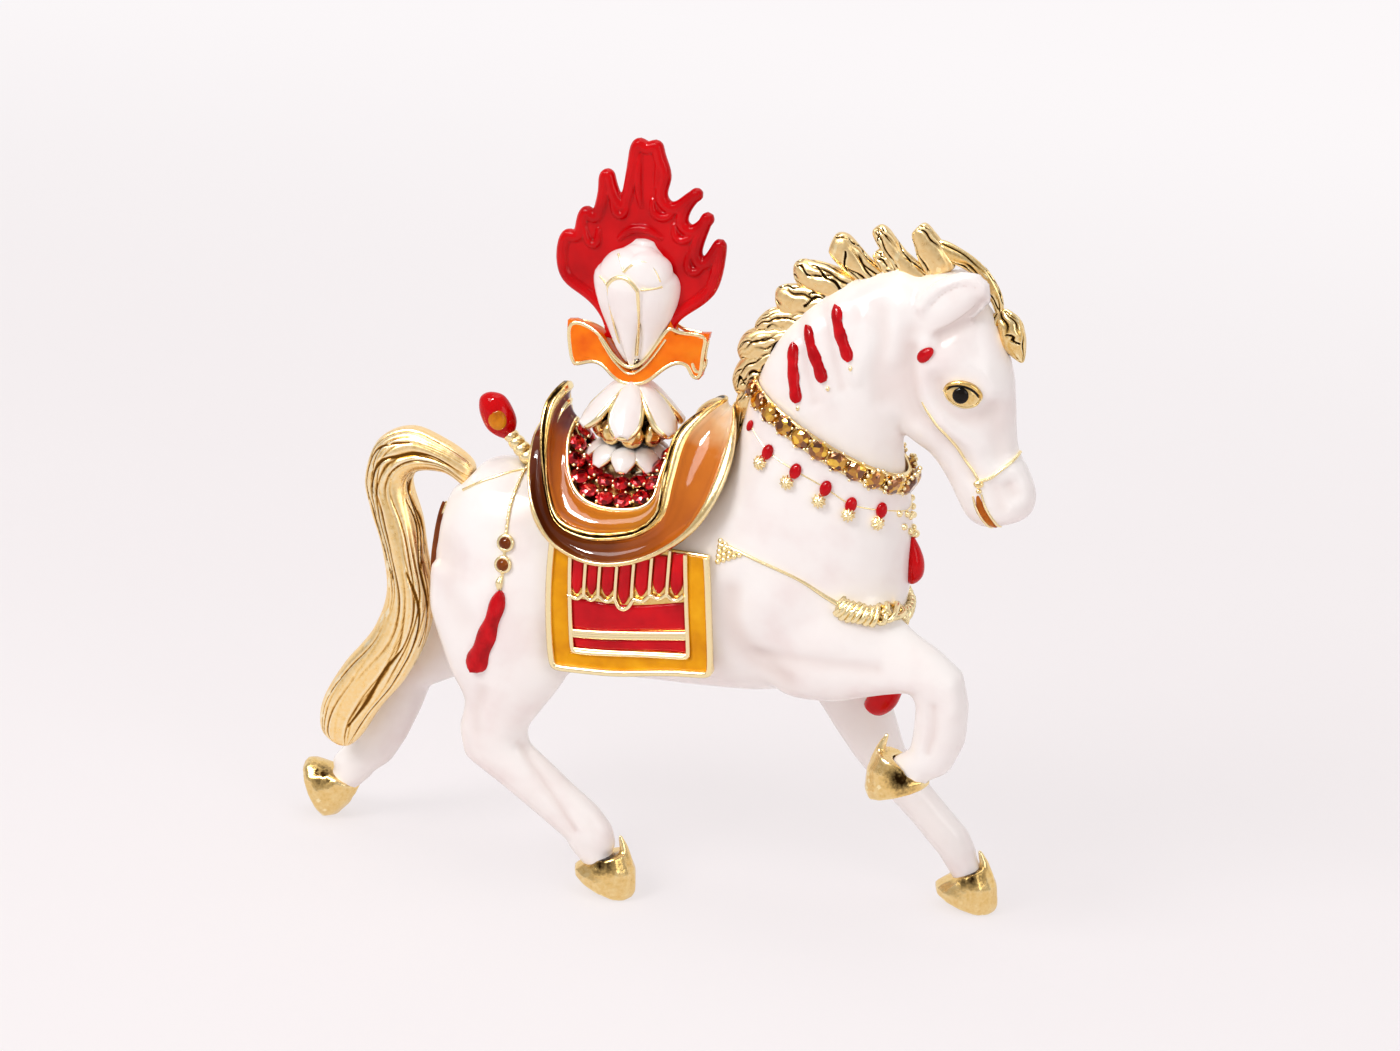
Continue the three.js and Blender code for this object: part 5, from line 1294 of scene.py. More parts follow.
# %% Ribbon lines
line_gold = gold("antiqued_gold_plating", wash_and_shade=(0.45, 0.5, 0.55), roughness=0.22, grain=0.3)
fold_line = [
    (-10.3, 67.6), (-9.0, 65.9), (-7.6, 64.5), (-6.3, 63.6), (-5.0, 64.4), (-3.6, 66.0), (-2.2, 68.6),
]
ribbon_lines = []
for face in (-1, 1):
    edge = [at(x, face * 1.42, z) for x, z in inset_outline(ribbon_outline, 0.16)]
    ribbon_lines.append(cord("rim", edge, 0.24, closed=True))
    ribbon_lines.append(cord("line", [at(x, face * 1.55, z) for x, z in fold_line], 0.15))
    curl = [at(0.9, face * 1.3, 66.6), at(1.0, face * 1.4, 65.4), at(1.6, face * 1.3, 64.7),
            at(2.3, face * 1.2, 65.4), at(2.3, face * 1.2, 66.4)]
    ribbon_lines.append(cord("curl", curl, [0.2, 0.26, 0.3, 0.26, 0.2]))
ribbon_gold = joined("ribbon_gold", ribbon_lines)
flatten_ends(ribbon_gold)
finish(ribbon_gold, line_gold, "gold_plate", "ribbon")

# %% [markdown]
# The bud is a closed lotus: a front petal like a pointed arch, one at each side of it, and rounder ones
# above. Each petal is a leaf-shaped patch that bulges off the bud's body, and all are fused and softened
# under the pearl white enamel. The same set is laid on the other face of the bud.

# %% Bud
bud_stations = [
    (-6.9, 64.8, -5.1, 64.9, 0.9), (-8.8, 68.8, -3.3, 69.0, 2.2), (-10.3, 72.2, -2.2, 71.6, 3.0),
    (-10.9, 75.2, -1.7, 74.8, 3.3), (-9.5, 77.6, -2.6, 77.4, 2.8), (-7.4, 79.2, -4.2, 79.1, 1.4),
]


def on_bud(angle, t, lift=0.0):
    """A place on the bud: angle in degrees, 0 in front at the right face and 90 toward the head."""
    ax, az, bx, bz, half = smooth(bud_stations, t)
    x, z = (ax + bx) / 2, (az + bz) / 2
    wide = math.hypot(bx - ax, bz - az) / 2
    s, c = math.sin(math.radians(angle)), math.cos(math.radians(angle))
    lean = (bz - az) / 2 * s
    return x + (wide + lift) * s, -(half + lift) * c, z + lean


def petal_on_bud(middle, width, low, high, fullest, lift, base):
    """A leaf-shaped patch: middle and width in degrees, low and high along the bud."""
    def reach(v):
        rise = min(v / fullest, 1)
        fall = max(0, (v - fullest) / (1 - fullest))
        return width * (0.25 + 0.75 * math.sin(rise * math.pi / 2)) * (1 - fall**1.7) ** 0.72

    def place(u, v):
        bulge = lift * math.sqrt(max(0, 1 - (2 * u - 1) ** 2)) * min(1, 8 * v, 6 * (1 - v) + 0.1)
        return on_bud(middle + (2 * u - 1) * reach(v), low + (high - low) * v, base + bulge)

    return apply_modifier(sheet("petal", 12, 18, place), "SOLIDIFY", thickness=0.5 * mm, offset=0)


petal_set = [
    (0, 62, 0.80, 1.0, 0.6, 0.2, -0.15), (-36, 44, 0.60, 0.93, 0.55, 0.5, 0.0),
    (30, 50, 0.60, 0.95, 0.55, 0.6, 0.05), (-62, 36, 0.02, 0.74, 0.72, 0.45, 0.0),
    (56, 44, 0.02, 0.76, 0.74, 0.5, 0.0), (-8, 27, 0.0, 0.68, 0.84, 0.5, 0.2),
]
bud_petals = [petal_on_bud(middle + turn, *shape) for turn in (0, 180) for middle, *shape in petal_set]
bud = fused(joined("bud_enamel", [copy_of("bud_body", "bud"), *bud_petals]), 0.12, 3)
finish(bud, white_enamel, "white_enamel", "bud")

# %% [markdown]
# Fine gold threads edge the front petal and part the upper ones. They are drawn in the side view and dropped
# onto the bud by looking along y, from the front for one face and from the back, mirrored, for the other.

# %% Bud threads
bud_lines = [
    ([(-8.97, 74.65), (-8.5, 75.6), (-7.2, 76.25), (-6.1, 75.7), (-5.2, 74.7)], 0.27),
    ([(-5.2, 74.7), (-5.04, 73.2), (-5.1, 70.9), (-5.33, 68.5), (-5.6, 66.2)], 0.22),
    ([(-8.97, 74.65), (-8.64, 72.0), (-8.1, 69.0), (-7.5, 66.6), (-6.9, 65.0)], 0.13),
    ([(-4.9, 74.8), (-4.0, 74.9), (-3.2, 75.1), (-2.6, 75.3)], 0.14),
    ([(-10.2, 75.4), (-9.6, 75.1), (-9.0, 74.7)], 0.12),
    ([(-8.2, 78.3), (-7.6, 77.8), (-7.05, 76.6)], 0.15), ([(-6.1, 77.6), (-6.6, 77.2), (-7.05, 76.6)], 0.15),
    ([(-6.1, 77.6), (-5.4, 78.1), (-4.2, 78.1), (-3.3, 77.0), (-2.8, 75.9)], 0.1),
]
bud_faces = BVHTree.FromObject(bud, bpy.context.evaluated_depsgraph_get())
bud_threads = []
bud_mirror = -12.4
for face in (-1, 1):
    for line, radius in bud_lines:
        spots = []
        for x, z in line:
            start = at(x if face < 0 else bud_mirror - x, face * 8, z)
            spot = bud_faces.ray_cast(start, Vector((0, -face, 0)))[0]
            if spot:
                spots.append(spot)
        bud_threads.append(cord("bud_thread", spots, radius))
finish(joined("bud_gold_lines", bud_threads), line_gold, "gold_plate", "bud")

# %% [markdown]
# Under the ribbon hang the outer petals of the lotus, white in gold cups, and below them sits a ring of
# ribbed gold beads on a smaller collar of white petals. One petal is modelled at the finial's foot, with a
# gold cord round its edge, and then copied round.

# %% Petals and rings
def drooping_petal(name, line, widths, thick, dome):
    """A petal along a line of (radius, z) with a half width at each step, domed across."""
    def place(u, v):
        radius, z = smooth(line, v)
        half = smooth(widths, v)
        across = 2 * u - 1
        rise = dome * (1 - across**2)
        ahead, ahead_z = smooth(line, min(1, v + 0.02))
        behind, behind_z = smooth(line, max(0, v - 0.02))
        slope = Vector((ahead - behind, ahead_z - behind_z)).normalized()
        return radius - slope.y * rise, across * half, z + slope.x * rise

    piece = sheet(name, 12, 16, place)
    piece.data.transform(Matrix.Translation(-drawing_origin))
    return apply_modifier(piece, "SOLIDIFY", thickness=thick * mm, offset=0)


def petal_rim(line, widths, radius):
    """The gold edge of the same petal."""
    steps = [0, 0.15, 0.3, 0.45, 0.6, 0.75, 0.88, 0.97]
    points = [(smooth(line, v)[0], -smooth(widths, v), smooth(line, v)[1]) for v in steps]
    points += [(smooth(line, v)[0], smooth(widths, v), smooth(line, v)[1]) for v in reversed(steps)]
    return cord("petal_rim", [Vector(p) * mm for p in points], radius, roundness=1)


def ring_of(pattern, count, first):
    """Copies of a pattern round the finial's pin, the first one turned by this angle."""
    made = []
    for k in range(count):
        copy = add_object(pattern.name, pattern.data.copy())
        turn = Matrix.Rotation(first + 2 * math.pi * k / count, 4, "Z")
        copy.data.transform(Matrix.Translation(at(pin_x, 0, 0)) @ turn)
        made.append(copy)
    drop(pattern)
    return made


front_turn = -math.radians(84)
print("the first petal is turned by", round(math.degrees(front_turn)), "degrees")

# %% [markdown]
# The upper lotus has six broad petals, the lower one nine small ones. A flat ball closes each at its middle,
# where the petals meet.

# %% Lotus
upper_line = [(0.9, 62.3), (2.3, 61.4), (3.7, 60.0), (5.0, 58.5), (5.9, 57.4)]
upper_widths = [0.6, 1.15, 1.65, 1.6, 0.5]
upper = ring_of(drooping_petal("lotus_petal", upper_line, upper_widths, 0.7, 0.5), 6, front_turn)
upper_rims = ring_of(petal_rim(upper_line, upper_widths, 0.47), 6, front_turn)
hub = ball("lotus_hub", at(pin_x, 0, 61.2), (1.9, 1.9, 1.2))
finish(joined("lotus_upper_enamel", upper + [hub]), white_enamel, "white_enamel", "lotus_upper")
finish(joined("lotus_upper_gold", upper_rims), bright_gold, "gold_plate", "lotus_upper")

lower_line = [(2.4, 54.6), (3.3, 54.7), (4.2, 54.0), (4.9, 52.9)]
lower_widths = [0.7, 1.15, 1.3, 0.4]
lower = ring_of(drooping_petal("low_petal", lower_line, lower_widths, 0.5, 0.4), 9, front_turn)
lower_rims = ring_of(petal_rim(lower_line, lower_widths, 0.28), 9, front_turn)
low_hub = ball("low_hub", at(pin_x, 0, 54.3), (3.0, 3.0, 0.9))
finish(joined("lotus_lower_enamel", lower + [low_hub]), white_enamel, "white_enamel", "lotus_lower")
finish(joined("lotus_lower_gold", lower_rims), bright_gold, "gold_plate", "lotus_lower")

# %% [markdown]
# Each of the eight beads is a ball whose sides are drawn in to ribs. They are fused round a core, and
# painted shade lies deep between them, next to the core.

# %% Bead ring
def ribbed_bead():
    """One bead of the ring: a ball whose sides are drawn in to ribs."""
    piece = ball("ribbed_bead", Vector(), (1.0, 1.0, 1.0), segments=36, rings=20)
    for vertex in piece.data.vertices:
        x, y, z = vertex.co / mm
        rib = 1 + 0.1 * abs(math.cos(3.5 * math.atan2(y, x)))
        vertex.co = Vector((x * rib * 1.35, y * rib * 1.42, z * 1.6)) * mm + Vector((3.2, 0, 57.0)) * mm
    return piece


beads = ring_of(ribbed_bead(), 8, front_turn + 0.2)
bead_core = ball("bead_core", at(pin_x, 0, 57), (3.0, 3.0, 1.7))
bead_ring = fused(joined("bead_ring_gold", beads + [bead_core]), 0.14, 1)
# Painted shade between the beads, next to the core.
paint(bead_ring, "wash_and_shade", lambda place: max(0.0, min(0.6, 4.0 - math.hypot(place.x - pin_x, place.y))))
finish(bead_ring, bright_gold, "gold_plate", "bead_ring")

# %% [markdown]
# The collar is a gold channel round the neck, with a rim on either side of its floor. Its line is given by
# two leaning loops, one below and one above, and a place lies a share of the way between them.

# %% Collar channel
collar_low = (8.6, 63.3, 27.5, 54.5, 6.7)
collar_high = (9.0, 66.0, 27.1, 57.2, 6.4)


def on_collar(angle, share, out=0.0):
    """A place on the collar: angle in degrees from the mane round the horse's right side."""
    mix = [low + (high - low) * share for low, high in zip(collar_low, collar_high)]
    middle = Vector(((mix[0] + mix[2]) / 2, 0, (mix[1] + mix[3]) / 2))
    reach = Vector((mix[0], 0, mix[1])) - middle
    reach = reach.normalized() * (reach.length + out)
    turn = math.radians(angle)
    return middle + reach * math.cos(turn) + Vector((0, -(mix[4] + out) * math.sin(turn), 0))


def collar_sheet(name, profile):
    """The channel's section as (share, out) pairs, swept once round."""
    def place(u, v):
        share, out = smooth(profile, v)
        return on_collar(360 * u, share, out)

    return tidy_mesh(sheet(name, 96, 4 * len(profile), place), 0.02)


channel = collar_sheet("collar_channel", [
    (0.5, 0.0), (0.12, 0.1), (0.06, 0.4), (0.14, 0.62), (0.3, 0.5), (0.5, 0.45), (0.7, 0.5), (0.86, 0.62),
    (0.94, 0.4), (0.88, 0.1), (0.5, 0.0),
])
print(channel.name, len(channel.data.polygons), "faces")

# %% [markdown]
# The channel is set with amber stones that grow toward the front, each placed as soon as there is room after
# the last. Small beads hold them, and more and larger ones make scalloped cups for those at the front. The
# stones are topaz yellow with a honey body, a painted deep brown for the dark reflections of turned-away
# facets and painted yellow glints.

# %% Collar stones
topaz = cut_glass("topaz_cut_glass", "#5a2c08", "#a8620f", "#f5c233", cell=0.7)
topaz_pattern = cut_stone("topaz_pattern", 1.0)
stones, cups = [], [channel]
first_angle, cup_angle, stone_lift, bead_reach = 18.0, 130, 0.72, 1.04
angle = first_angle
while angle < 180:
    size = 1.2 + 0.25 * max(0, (angle - 100) / 80)
    held_by, bead_size = (6, 0.8) if angle < cup_angle else (12, 1.2)
    for turn in (angle, 360 - angle):
        spot = on_collar(turn, 0.5, stone_lift)
        normal = on_collar(turn, 0.5, 2) - on_collar(turn, 0.5, 0)
        stones.append(set_copy(topaz_pattern, at(*spot), normal, angle, size))
        for k in range(held_by):
            lie = turned_to(normal)
            round_it = k * 2 * math.pi / held_by + 0.5
            rim = lie @ Vector((math.cos(round_it), math.sin(round_it), 0.02)) * bead_reach * size
            cups.append(set_copy(bead_pattern, at(*(spot + rim)), normal, 0, bead_size))
    near = on_collar(angle, 0.5, stone_lift)
    while angle < 200 and (on_collar(angle, 0.5, stone_lift) - near).length < 2.02 * size:
        angle += 0.5
finish(joined("collar_topaz", stones), topaz, "topaz_crystal", "collar", angle=0)
finish(joined("collar_gold", cups), bright_gold, "gold_plate", "collar")
drop(topaz_pattern, bead_pattern)
print(len(stones), "collar stones")

# %% [markdown]
# Cords, beads and enamel strokes lie on the skin. Each is drawn with a few places in the side view, moved
# to the nearest place on the enamel, and lifted by about its own radius.

# %% Laying things on the skin
def mirrored(path, side):
    return [(x, -side * abs(y), z) for x, y, z in path]


def skin_cord(name, path, radii, lift=0.1):
    """A cord over places of the skin; the places are joined by a smooth line first."""
    count = (len(path) - 1) * 3
    line = [smooth(path, k / count) for k in range(count + 1)]
    radii = radii if isinstance(radii, (list, tuple)) else [radii] * len(path)
    spots = [on_skin(*place, lift=lift)[0] for place in line]
    return cord(name, spots, [smooth(radii, k / count) for k in range(count + 1)], roundness=1, per_span=2)


def skin_ball(name, place, size, along=(0, 0, 1), lift=0.0, segments=20, rings=12):
    spot, normal = on_skin(*place, lift=lift)
    return ball(name, spot, size, normal, along, segments, rings)


print("the cheek is", round(-drawn(on_skin(30, -5, 68)[0]).y, 2), "mm out")

# %% [markdown]
# Enamel strokes such as the stripes of the neck are poured into shallow cells, so they are thin, flat and
# round at the edge. Each is a sheet along a line, as wide as its widths say, sunk a little into the skin.

# %% Strokes of enamel
stroke_sunk = 0.15


def stroke(name, path, widths, height):
    """A flat, softly edged stroke of enamel over places of the skin."""
    count = (len(path) - 1) * 6
    line = [on_skin(*smooth(path, k / count)) for k in range(count + 1)]

    def place(u, v):
        k = round(v * count)
        spot, normal = line[k]
        along = (line[min(k + 1, count)][0] - line[max(k - 1, 0)][0]).normalized()
        side = along.cross(normal).normalized()
        across = 2 * u - 1
        half = smooth(widths, v) / 2 * math.sqrt(max(0.02, 1 - (2 * v - 1) ** 8))
        rise = height * math.sqrt(max(0, 1 - across**2)) - stroke_sunk
        return drawn(spot + side * across * half * mm + normal * rise * mm)

    return tidy_mesh(sheet(name, 10, count, place))


print("a stroke is sunk", stroke_sunk, "mm")

# %% [markdown]
# Three red stripes run down each side of the neck, each with a gold grain at its lower end, and a red drop
# with a pointed tip sits on the cheek. Their enamel is scarlet, with small lively clouds.

# %% Stripes and studs
bead_red = enamel("scarlet_cold_enamel", "#a8040f", "#c10814", "#d2121c", cloud=1.6)
stripe_paths = [
    [(13.6, 3.5, 71.2), (13.9, 4.4, 68.9), (14.5, 5.1, 66.6), (15.0, 5.5, 64.8)],
    [(15.0, 3.1, 73.4), (15.8, 4.2, 71.4), (17.0, 5.0, 69.4), (17.8, 5.2, 67.6)],
    [(18.1, 3.1, 76.2), (18.7, 4.0, 74.2), (19.7, 4.6, 72.2), (20.6, 4.8, 70.4)],
]
stripe_widths = [1.1, 1.5, 1.3, 1.6, 1.35, 1.6, 1.2]
stripe_tips = [(15.2, 5.7, 64.3), (18.4, 5.4, 67.0), (20.9, 5.0, 69.7)]
for side_name, side in sides:
    for k, path in enumerate(stripe_paths):
        piece = stroke(f"neck_stroke_{k + 1}_{side_name}", mirrored(path, side), stripe_widths, 0.55)
        finish(piece, bead_red, "red_enamel", f"neck_stripe_{k + 1}_{side_name}")
    tips = [skin_ball("tip", spot, (0.3, 0.22, 0.2), lift=0.05) for spot in mirrored(stripe_tips, side)]
    finish(joined("stripe_tips_" + side_name, tips), bright_gold, "gold_plate")
    stud = skin_ball("cheek_drop_" + side_name, (29.0, -side * 4.4, 72.3), (0.95, 0.72, 0.5), (0.8, 0, 1))
    for vertex in stud.data.vertices:
        place = drawn(vertex.co)
        tip = max(0, (place.x - 29.0) * 0.6 + (place.z - 72.3) * 0.8 - 0.2)
        vertex.co += Vector((0.5, 0, 0.35)) * tip * mm
    finish(stud, bead_red, "red_enamel", "cheek_stud_" + side_name)

# %% [markdown]
# Each eye is a gold almond let into the enamel, with a raised lid along its top, a lower rim, and a pupil
# with a lash line in black enamel, the glossiest of all, so that it keeps one bright point. The lids are
# darkened by wash and painted shade, and the black lash line stands partly for the shade under the lid.

# %% Eyes
pupil_black = enamel("black_cold_enamel", "#0b0806", "#140e0a", "#1e1612", cloud=1.0, roughness=0.05)
lid_turns, under_turns = (0.0, 0.08, 0.17, 0.27, 0.38, 0.5), (0.5, 0.62, 0.75, 0.88, 1.0)
lash_turns = (0.04, 0.12, 0.2, 0.28, 0.36, 0.45)


def eye_place(side, angle, share):
    """A place in the almond: angle in turns from its front corner over the top, share from 0 to the edge."""
    turn = 2 * math.pi * angle
    x = 33.75 + 2.25 * math.cos(turn) * share
    tall = (1.55 if math.sin(turn) > 0 else 1.35) * (1 - 0.25 * math.cos(turn) ** 4)
    return x, -side * 4.2, 68.15 - 0.12 * (x - 33.7) + tall * math.sin(turn) * share


def dress_eye(side_name, side):
    def place(u, v):
        spot, normal = on_skin(*eye_place(side, u, v))
        return drawn(spot + normal * (0.5 * math.sqrt(max(0, 1 - v * v)) - 0.06) * mm)

    eyeball = tidy_mesh(sheet("eyeball", 40, 10, place))
    lid = skin_cord("lid", [eye_place(side, turn, 1.02) for turn in lid_turns],
                    [0.1, 0.24, 0.34, 0.32, 0.24, 0.1], lift=0.2)
    under = skin_cord("lid", [eye_place(side, turn, 1.0) for turn in under_turns],
                      [0.1, 0.13, 0.14, 0.13, 0.1], lift=0.12)
    # The lids are darkened by wash and painted shade.
    paint(lid, "wash_and_shade", lambda place: 0.75)
    paint(under, "wash_and_shade", lambda place: 0.5)
    finish(joined("eye_gold_" + side_name, [eyeball, lid, under]), bright_gold, "gold_plate",
           "eye_" + side_name)
    pupil = skin_ball("pupil_" + side_name, (33.5, -side * 4.2, 68.3), (0.98, 0.95, 0.4), lift=0.3)
    # The black line under the lid is partly painted shade.
    lash = skin_cord("lash", [eye_place(side, turn, 0.84) for turn in lash_turns],
                     [0.06, 0.2, 0.26, 0.24, 0.16, 0.06], lift=0.24)
    finish(joined("pupil_" + side_name, [pupil, lash]), pupil_black, "gold_plate", "eye_" + side_name)


for side_name, side in sides:
    dress_eye(side_name, side)

# %% [markdown]
# The bridle is a fine raised line in gold, dark where the wash stayed: down the cheek, round the nose, and
# a small ring where they meet.

# %% Bridle
def around_front(path):
    """The path on the right side, then mirrored back on the left."""
    right_side = [(x, -abs(y), z) for x, y, z in path]
    left_side = [(x, abs(y), z) for x, y, z in reversed(path) if abs(y) > 0.01]
    return right_side + left_side


nose_path = [(36.2, 2.6, 57.8), (37.1, 2.6, 58.3), (37.9, 2.5, 58.9), (39.4, 1.9, 60.3), (40.6, 0, 61.4)]
cheek_path = [
    (28.9, 4.3, 66.6), (29.8, 4.3, 65.4), (31.2, 3.9, 64.2), (32.6, 3.4, 62.6), (34.0, 2.9, 60.6),
    (35.2, 2.7, 59.0), (36.2, 2.6, 57.8),
]
cheek_radii = [0.1, 0.16, 0.2, 0.2, 0.18, 0.18, 0.2]
bridle_parts = [skin_cord("noseband", around_front(nose_path), 0.2, lift=0.08)]
for side in (1, -1):
    bridle_parts.append(skin_cord("cheek_line", mirrored(cheek_path, side), cheek_radii, lift=0.05))
    bridle_parts.append(skin_ball("ring", (36.2, -side * 2.6, 57.5), (0.45, 0.6, 0.35), lift=0.1))
    bridle_parts.append(skin_ball("ring", (36.3, -side * 2.6, 56.7), (0.3, 0.35, 0.3), lift=0.05))
finish(joined("bridle_gold", bridle_parts), line_gold, "gold_plate", "bridle")

# %% [markdown]
# The mouth is a narrow strip of burnt orange enamel between two gold lips.

# %% Mouth
mouth_amber = enamel("burnt_orange_cold_enamel", "#9c4a0c", "#b8600f", "#cf7a1c", cloud=1.5)
mouth_path = [(36.2, 2.6, 56.2), (36.6, 2.6, 55.0), (37.2, 2.5, 54.0), (38.0, 2.0, 52.9), (38.4, 0.9, 52.3)]
mouth_strokes, mouth_lips = [], []
for side in (1, -1):
    mouth_strokes.append(stroke("mouth", mirrored(mouth_path, side), [0.5, 0.95, 1.0, 0.9, 0.6], 0.3))
    for shift in (-0.5, 0.5):
        lip = [(x + shift * 0.9, y, z + shift * 0.35) for x, y, z in mirrored(mouth_path, side)]
        mouth_lips.append(skin_cord("lip", lip, [0.1, 0.16, 0.16, 0.16, 0.1], lift=0.08))
finish(joined("mouth_enamel", mouth_strokes), mouth_amber, "amber_enamel", "mouth_inlay")
finish(joined("mouth_gold", mouth_lips), line_gold, "gold_plate", "mouth_inlay")

# %% [markdown]
# Round the chest runs a garland: red enamel beads on a fine gold thread, each with a round openwork drop
# below it. The drop is a small ball wound with wire, so it is modelled as a ball with coils on it.

# %% Garland
red_spots = [
    (9.7, 4.5, 60.9), (12.4, 6.5, 58.8), (15.9, 7.2, 57.3), (19.5, 7.1, 55.8), (22.4, 6.6, 54.1),
    (25.5, 4.9, 53.4),
]
drop_spots = [
    (11.7, 6.5, 57.4), (15.1, 7.4, 55.9), (18.9, 7.4, 54.3), (22.2, 6.8, 53.0), (25.2, 5.3, 52.0),
    (9.0, 4.6, 59.6),
]
front_bumps = [(27.4, 3.0, 52.6), (28.3, 1.5, 52.2), (28.6, 0.4, 51.6), (28.7, 0.8, 49.9), (28.4, 2.4, 50.9)]
red_beads, gold_drops = [], []
for side in (1, -1):
    for k, spot in enumerate(mirrored(red_spots, side)):
        size = (0.95, 0.68, 0.5) if k else (0.7, 0.4, 0.35)
        red_beads.append(skin_ball("red_bead", spot, size, along=(0.25, 0, 1), lift=0.2))
    for spot in mirrored(drop_spots[:-1], side):
        centre, normal = on_skin(*spot, lift=0.3)
        gold_drops.append(ball("drop", centre, (0.75, 0.7, 0.55), normal))
        lie = turned_to(normal)
        for turn in range(5):
            coil, around = [], turn * 1.257
            for s in range(9):
                angle = s * math.pi / 8
                reach = math.cos(angle)
                wire = (math.cos(around) * reach * 0.82, math.sin(around) * reach * 0.78,
                        math.sin(angle) * 0.62)
                coil.append(centre + lie @ Vector(wire) * mm)
            gold_drops.append(cord("coil", coil, 0.12, roundness=1, per_span=2))
    for spot in mirrored(front_bumps, side):
        gold_drops.append(skin_ball("bump", spot, (0.42, 0.42, 0.4), lift=0.12, segments=10, rings=6))
thread_path = around_front(red_spots + [(28.0, 1.6, 52.6), (28.4, 0, 52.6)])
thread = skin_cord("thread", thread_path, 0.09, lift=0.04)
finish(joined("garland_red", red_beads), bead_red, "red_enamel", "chest_garland")
finish(joined("garland_gold", gold_drops + [thread]), line_gold, "gold_plate", "chest_garland")

# %% [markdown]
# The breast strap starts at the cloth in a small triangle of gold grains and runs forward as a thin line.

# %% Breast strap
breast_path = [
    (7.8, 7.9, 47.2), (9.6, 8.1, 47.0), (13.3, 8.3, 46.0), (17.5, 8.1, 44.7), (20.2, 7.7, 43.2),
    (22.6, 7.3, 41.9),
]
breast_radii = [0.25, 0.2, 0.18, 0.18, 0.24, 0.3]
grain_step, tab_tip = 0.62, (10.3, 46.45)
for side_name, side in sides:
    line = skin_cord("strap_line", mirrored(breast_path, side), breast_radii, lift=0.1)
    tab = []
    for row in range(5):
        for column in range(row + 1):
            x = tab_tip[0] - row * grain_step
            z = tab_tip[1] + (column - row / 2) * grain_step
            tab.append(skin_ball("grain", (x, -side * 8.1, z), (0.36, 0.36, 0.24), lift=0.1, segments=8,
                                 rings=5))
    finish(joined("breast_line_" + side_name, [line, *tab]), line_gold, "gold_plate",
           "breast_strap_" + side_name)

# %% [markdown]
# Over the chest hangs a rope of twisted and knotted gold. Three strands wind round its line and swell at
# each knot, and a small ball fills the knot. The wash was rubbed on it unevenly, which parts the strands.

# %% Breast rope
rope_path = [
    (22.2, 7.3, 42.0), (23.4, 7.0, 41.3), (24.9, 6.5, 40.8), (26.2, 5.6, 40.4), (27.4, 4.4, 39.9),
    (28.4, 2.6, 39.6), (29.0, 0, 39.4),
]
rope_line = around_front(rope_path)
rope_strands, strand_steps, knots = [], 120, 13
for strand in range(3):
    points = []
    for s in range(strand_steps + 1):
        share = s / strand_steps
        spot, normal = on_skin(*smooth(rope_line, share), lift=0.55)
        ahead = on_skin(*smooth(rope_line, min(1, share + 0.01)), lift=0.55)[0]
        behind = on_skin(*smooth(rope_line, max(0, share - 0.01)), lift=0.55)[0]
        along = (ahead - behind).normalized()
        side = along.cross(normal).normalized()
        angle = 2 * math.pi * (share * 11 + strand / 3)
        wide = 0.85 + 0.4 * math.sin(share * 2 * math.pi * knots) ** 2
        points.append(spot + (side * math.cos(angle) * wide + normal * math.sin(angle) * 0.42) * mm)
    rope_strands.append(cord("rope_strand", points, 0.36, roundness=1, per_span=1))
for s in range(knots):
    spot = smooth(rope_line, (s + 0.5) / knots)
    rope_strands.append(skin_ball("knot", spot, (0.75, 0.55, 0.5), along=(1, 0, 0.4), lift=0.8,
                                  segments=10, rings=6))
rope = joined("breast_rope_gold", rope_strands)
rope_chance = random.Random(5)
paint(rope, "wash_and_shade", lambda place: rope_chance.uniform(-0.2, 0.75))
finish(rope, line_gold, "gold_plate", "breast_rope")

# %% [markdown]
# Two red drops hang on the chest, one under the garland and a larger one below the rope. They are the
# flame's glossy red, poured over a cast form. A drop is drawn by both its edges in the side view and a half
# thickness at each station, and the larger one is a little uneven, as the enamel ran.

# %% Chest drops
def hung(name, stations, wobble=0.0):
    """A round form through stations in the horse's middle plane, with a slightly uneven skin."""
    chance = random.Random(4)
    phases = [chance.random() * 6.28 for k in range(2)]

    def place(u, v):
        angle = 2 * math.pi * u
        ax, az, bx, bz, half = smooth(stations, v)
        close = math.sqrt(max(0, 1 - (2 * v - 1) ** 10))
        size = close * (1 + wobble * math.sin(v * 19 + phases[0]) * math.cos(angle + phases[1]))
        x, z = (ax + bx) / 2, (az + bz) / 2
        return (x + (ax - x) * math.cos(angle) * size, half * math.sin(angle) * size,
                z + (az - z) * math.cos(angle) * size)

    return tidy_mesh(sheet(name, 20, 22, place))


chest_stations = [
    (28.6, 49.2, 28.4, 49.0, 0.4), (29.6, 47.6, 28.2, 47.4, 0.9), (30.2, 46.0, 28.2, 45.8, 1.3),
    (30.2, 44.4, 28.3, 44.3, 1.2), (29.4, 43.2, 28.4, 43.2, 0.5),
]
finish(hung("chest_drop_enamel", chest_stations), flame_enamel, "red_enamel", "chest_drop")
cap = ball("chest_cap", at(28.8, 0, 49.4), (0.6, 0.6, 0.5))
finish(cap, line_gold, "gold_plate", "chest_drop")

tassel_stations = [
    (27.6, 36.4, 26.6, 36.6, 0.6), (28.9, 34.4, 27.1, 34.2, 1.0), (29.4, 31.4, 26.9, 32.0, 1.4),
    (28.6, 28.2, 25.4, 29.6, 1.7), (27.0, 26.3, 24.6, 27.5, 1.2), (25.8, 26.3, 25.0, 26.7, 0.5),
]
tassel = hung("chest_tassel_enamel", tassel_stations, wobble=0.05)
finish(tassel, flame_enamel, "red_enamel", "chest_tassel")

# %% [markdown]
# A wavy red tassel lies on each hip under the chain. It is a thick stroke of the scarlet enamel that swells
# and narrows twice before its broad end.

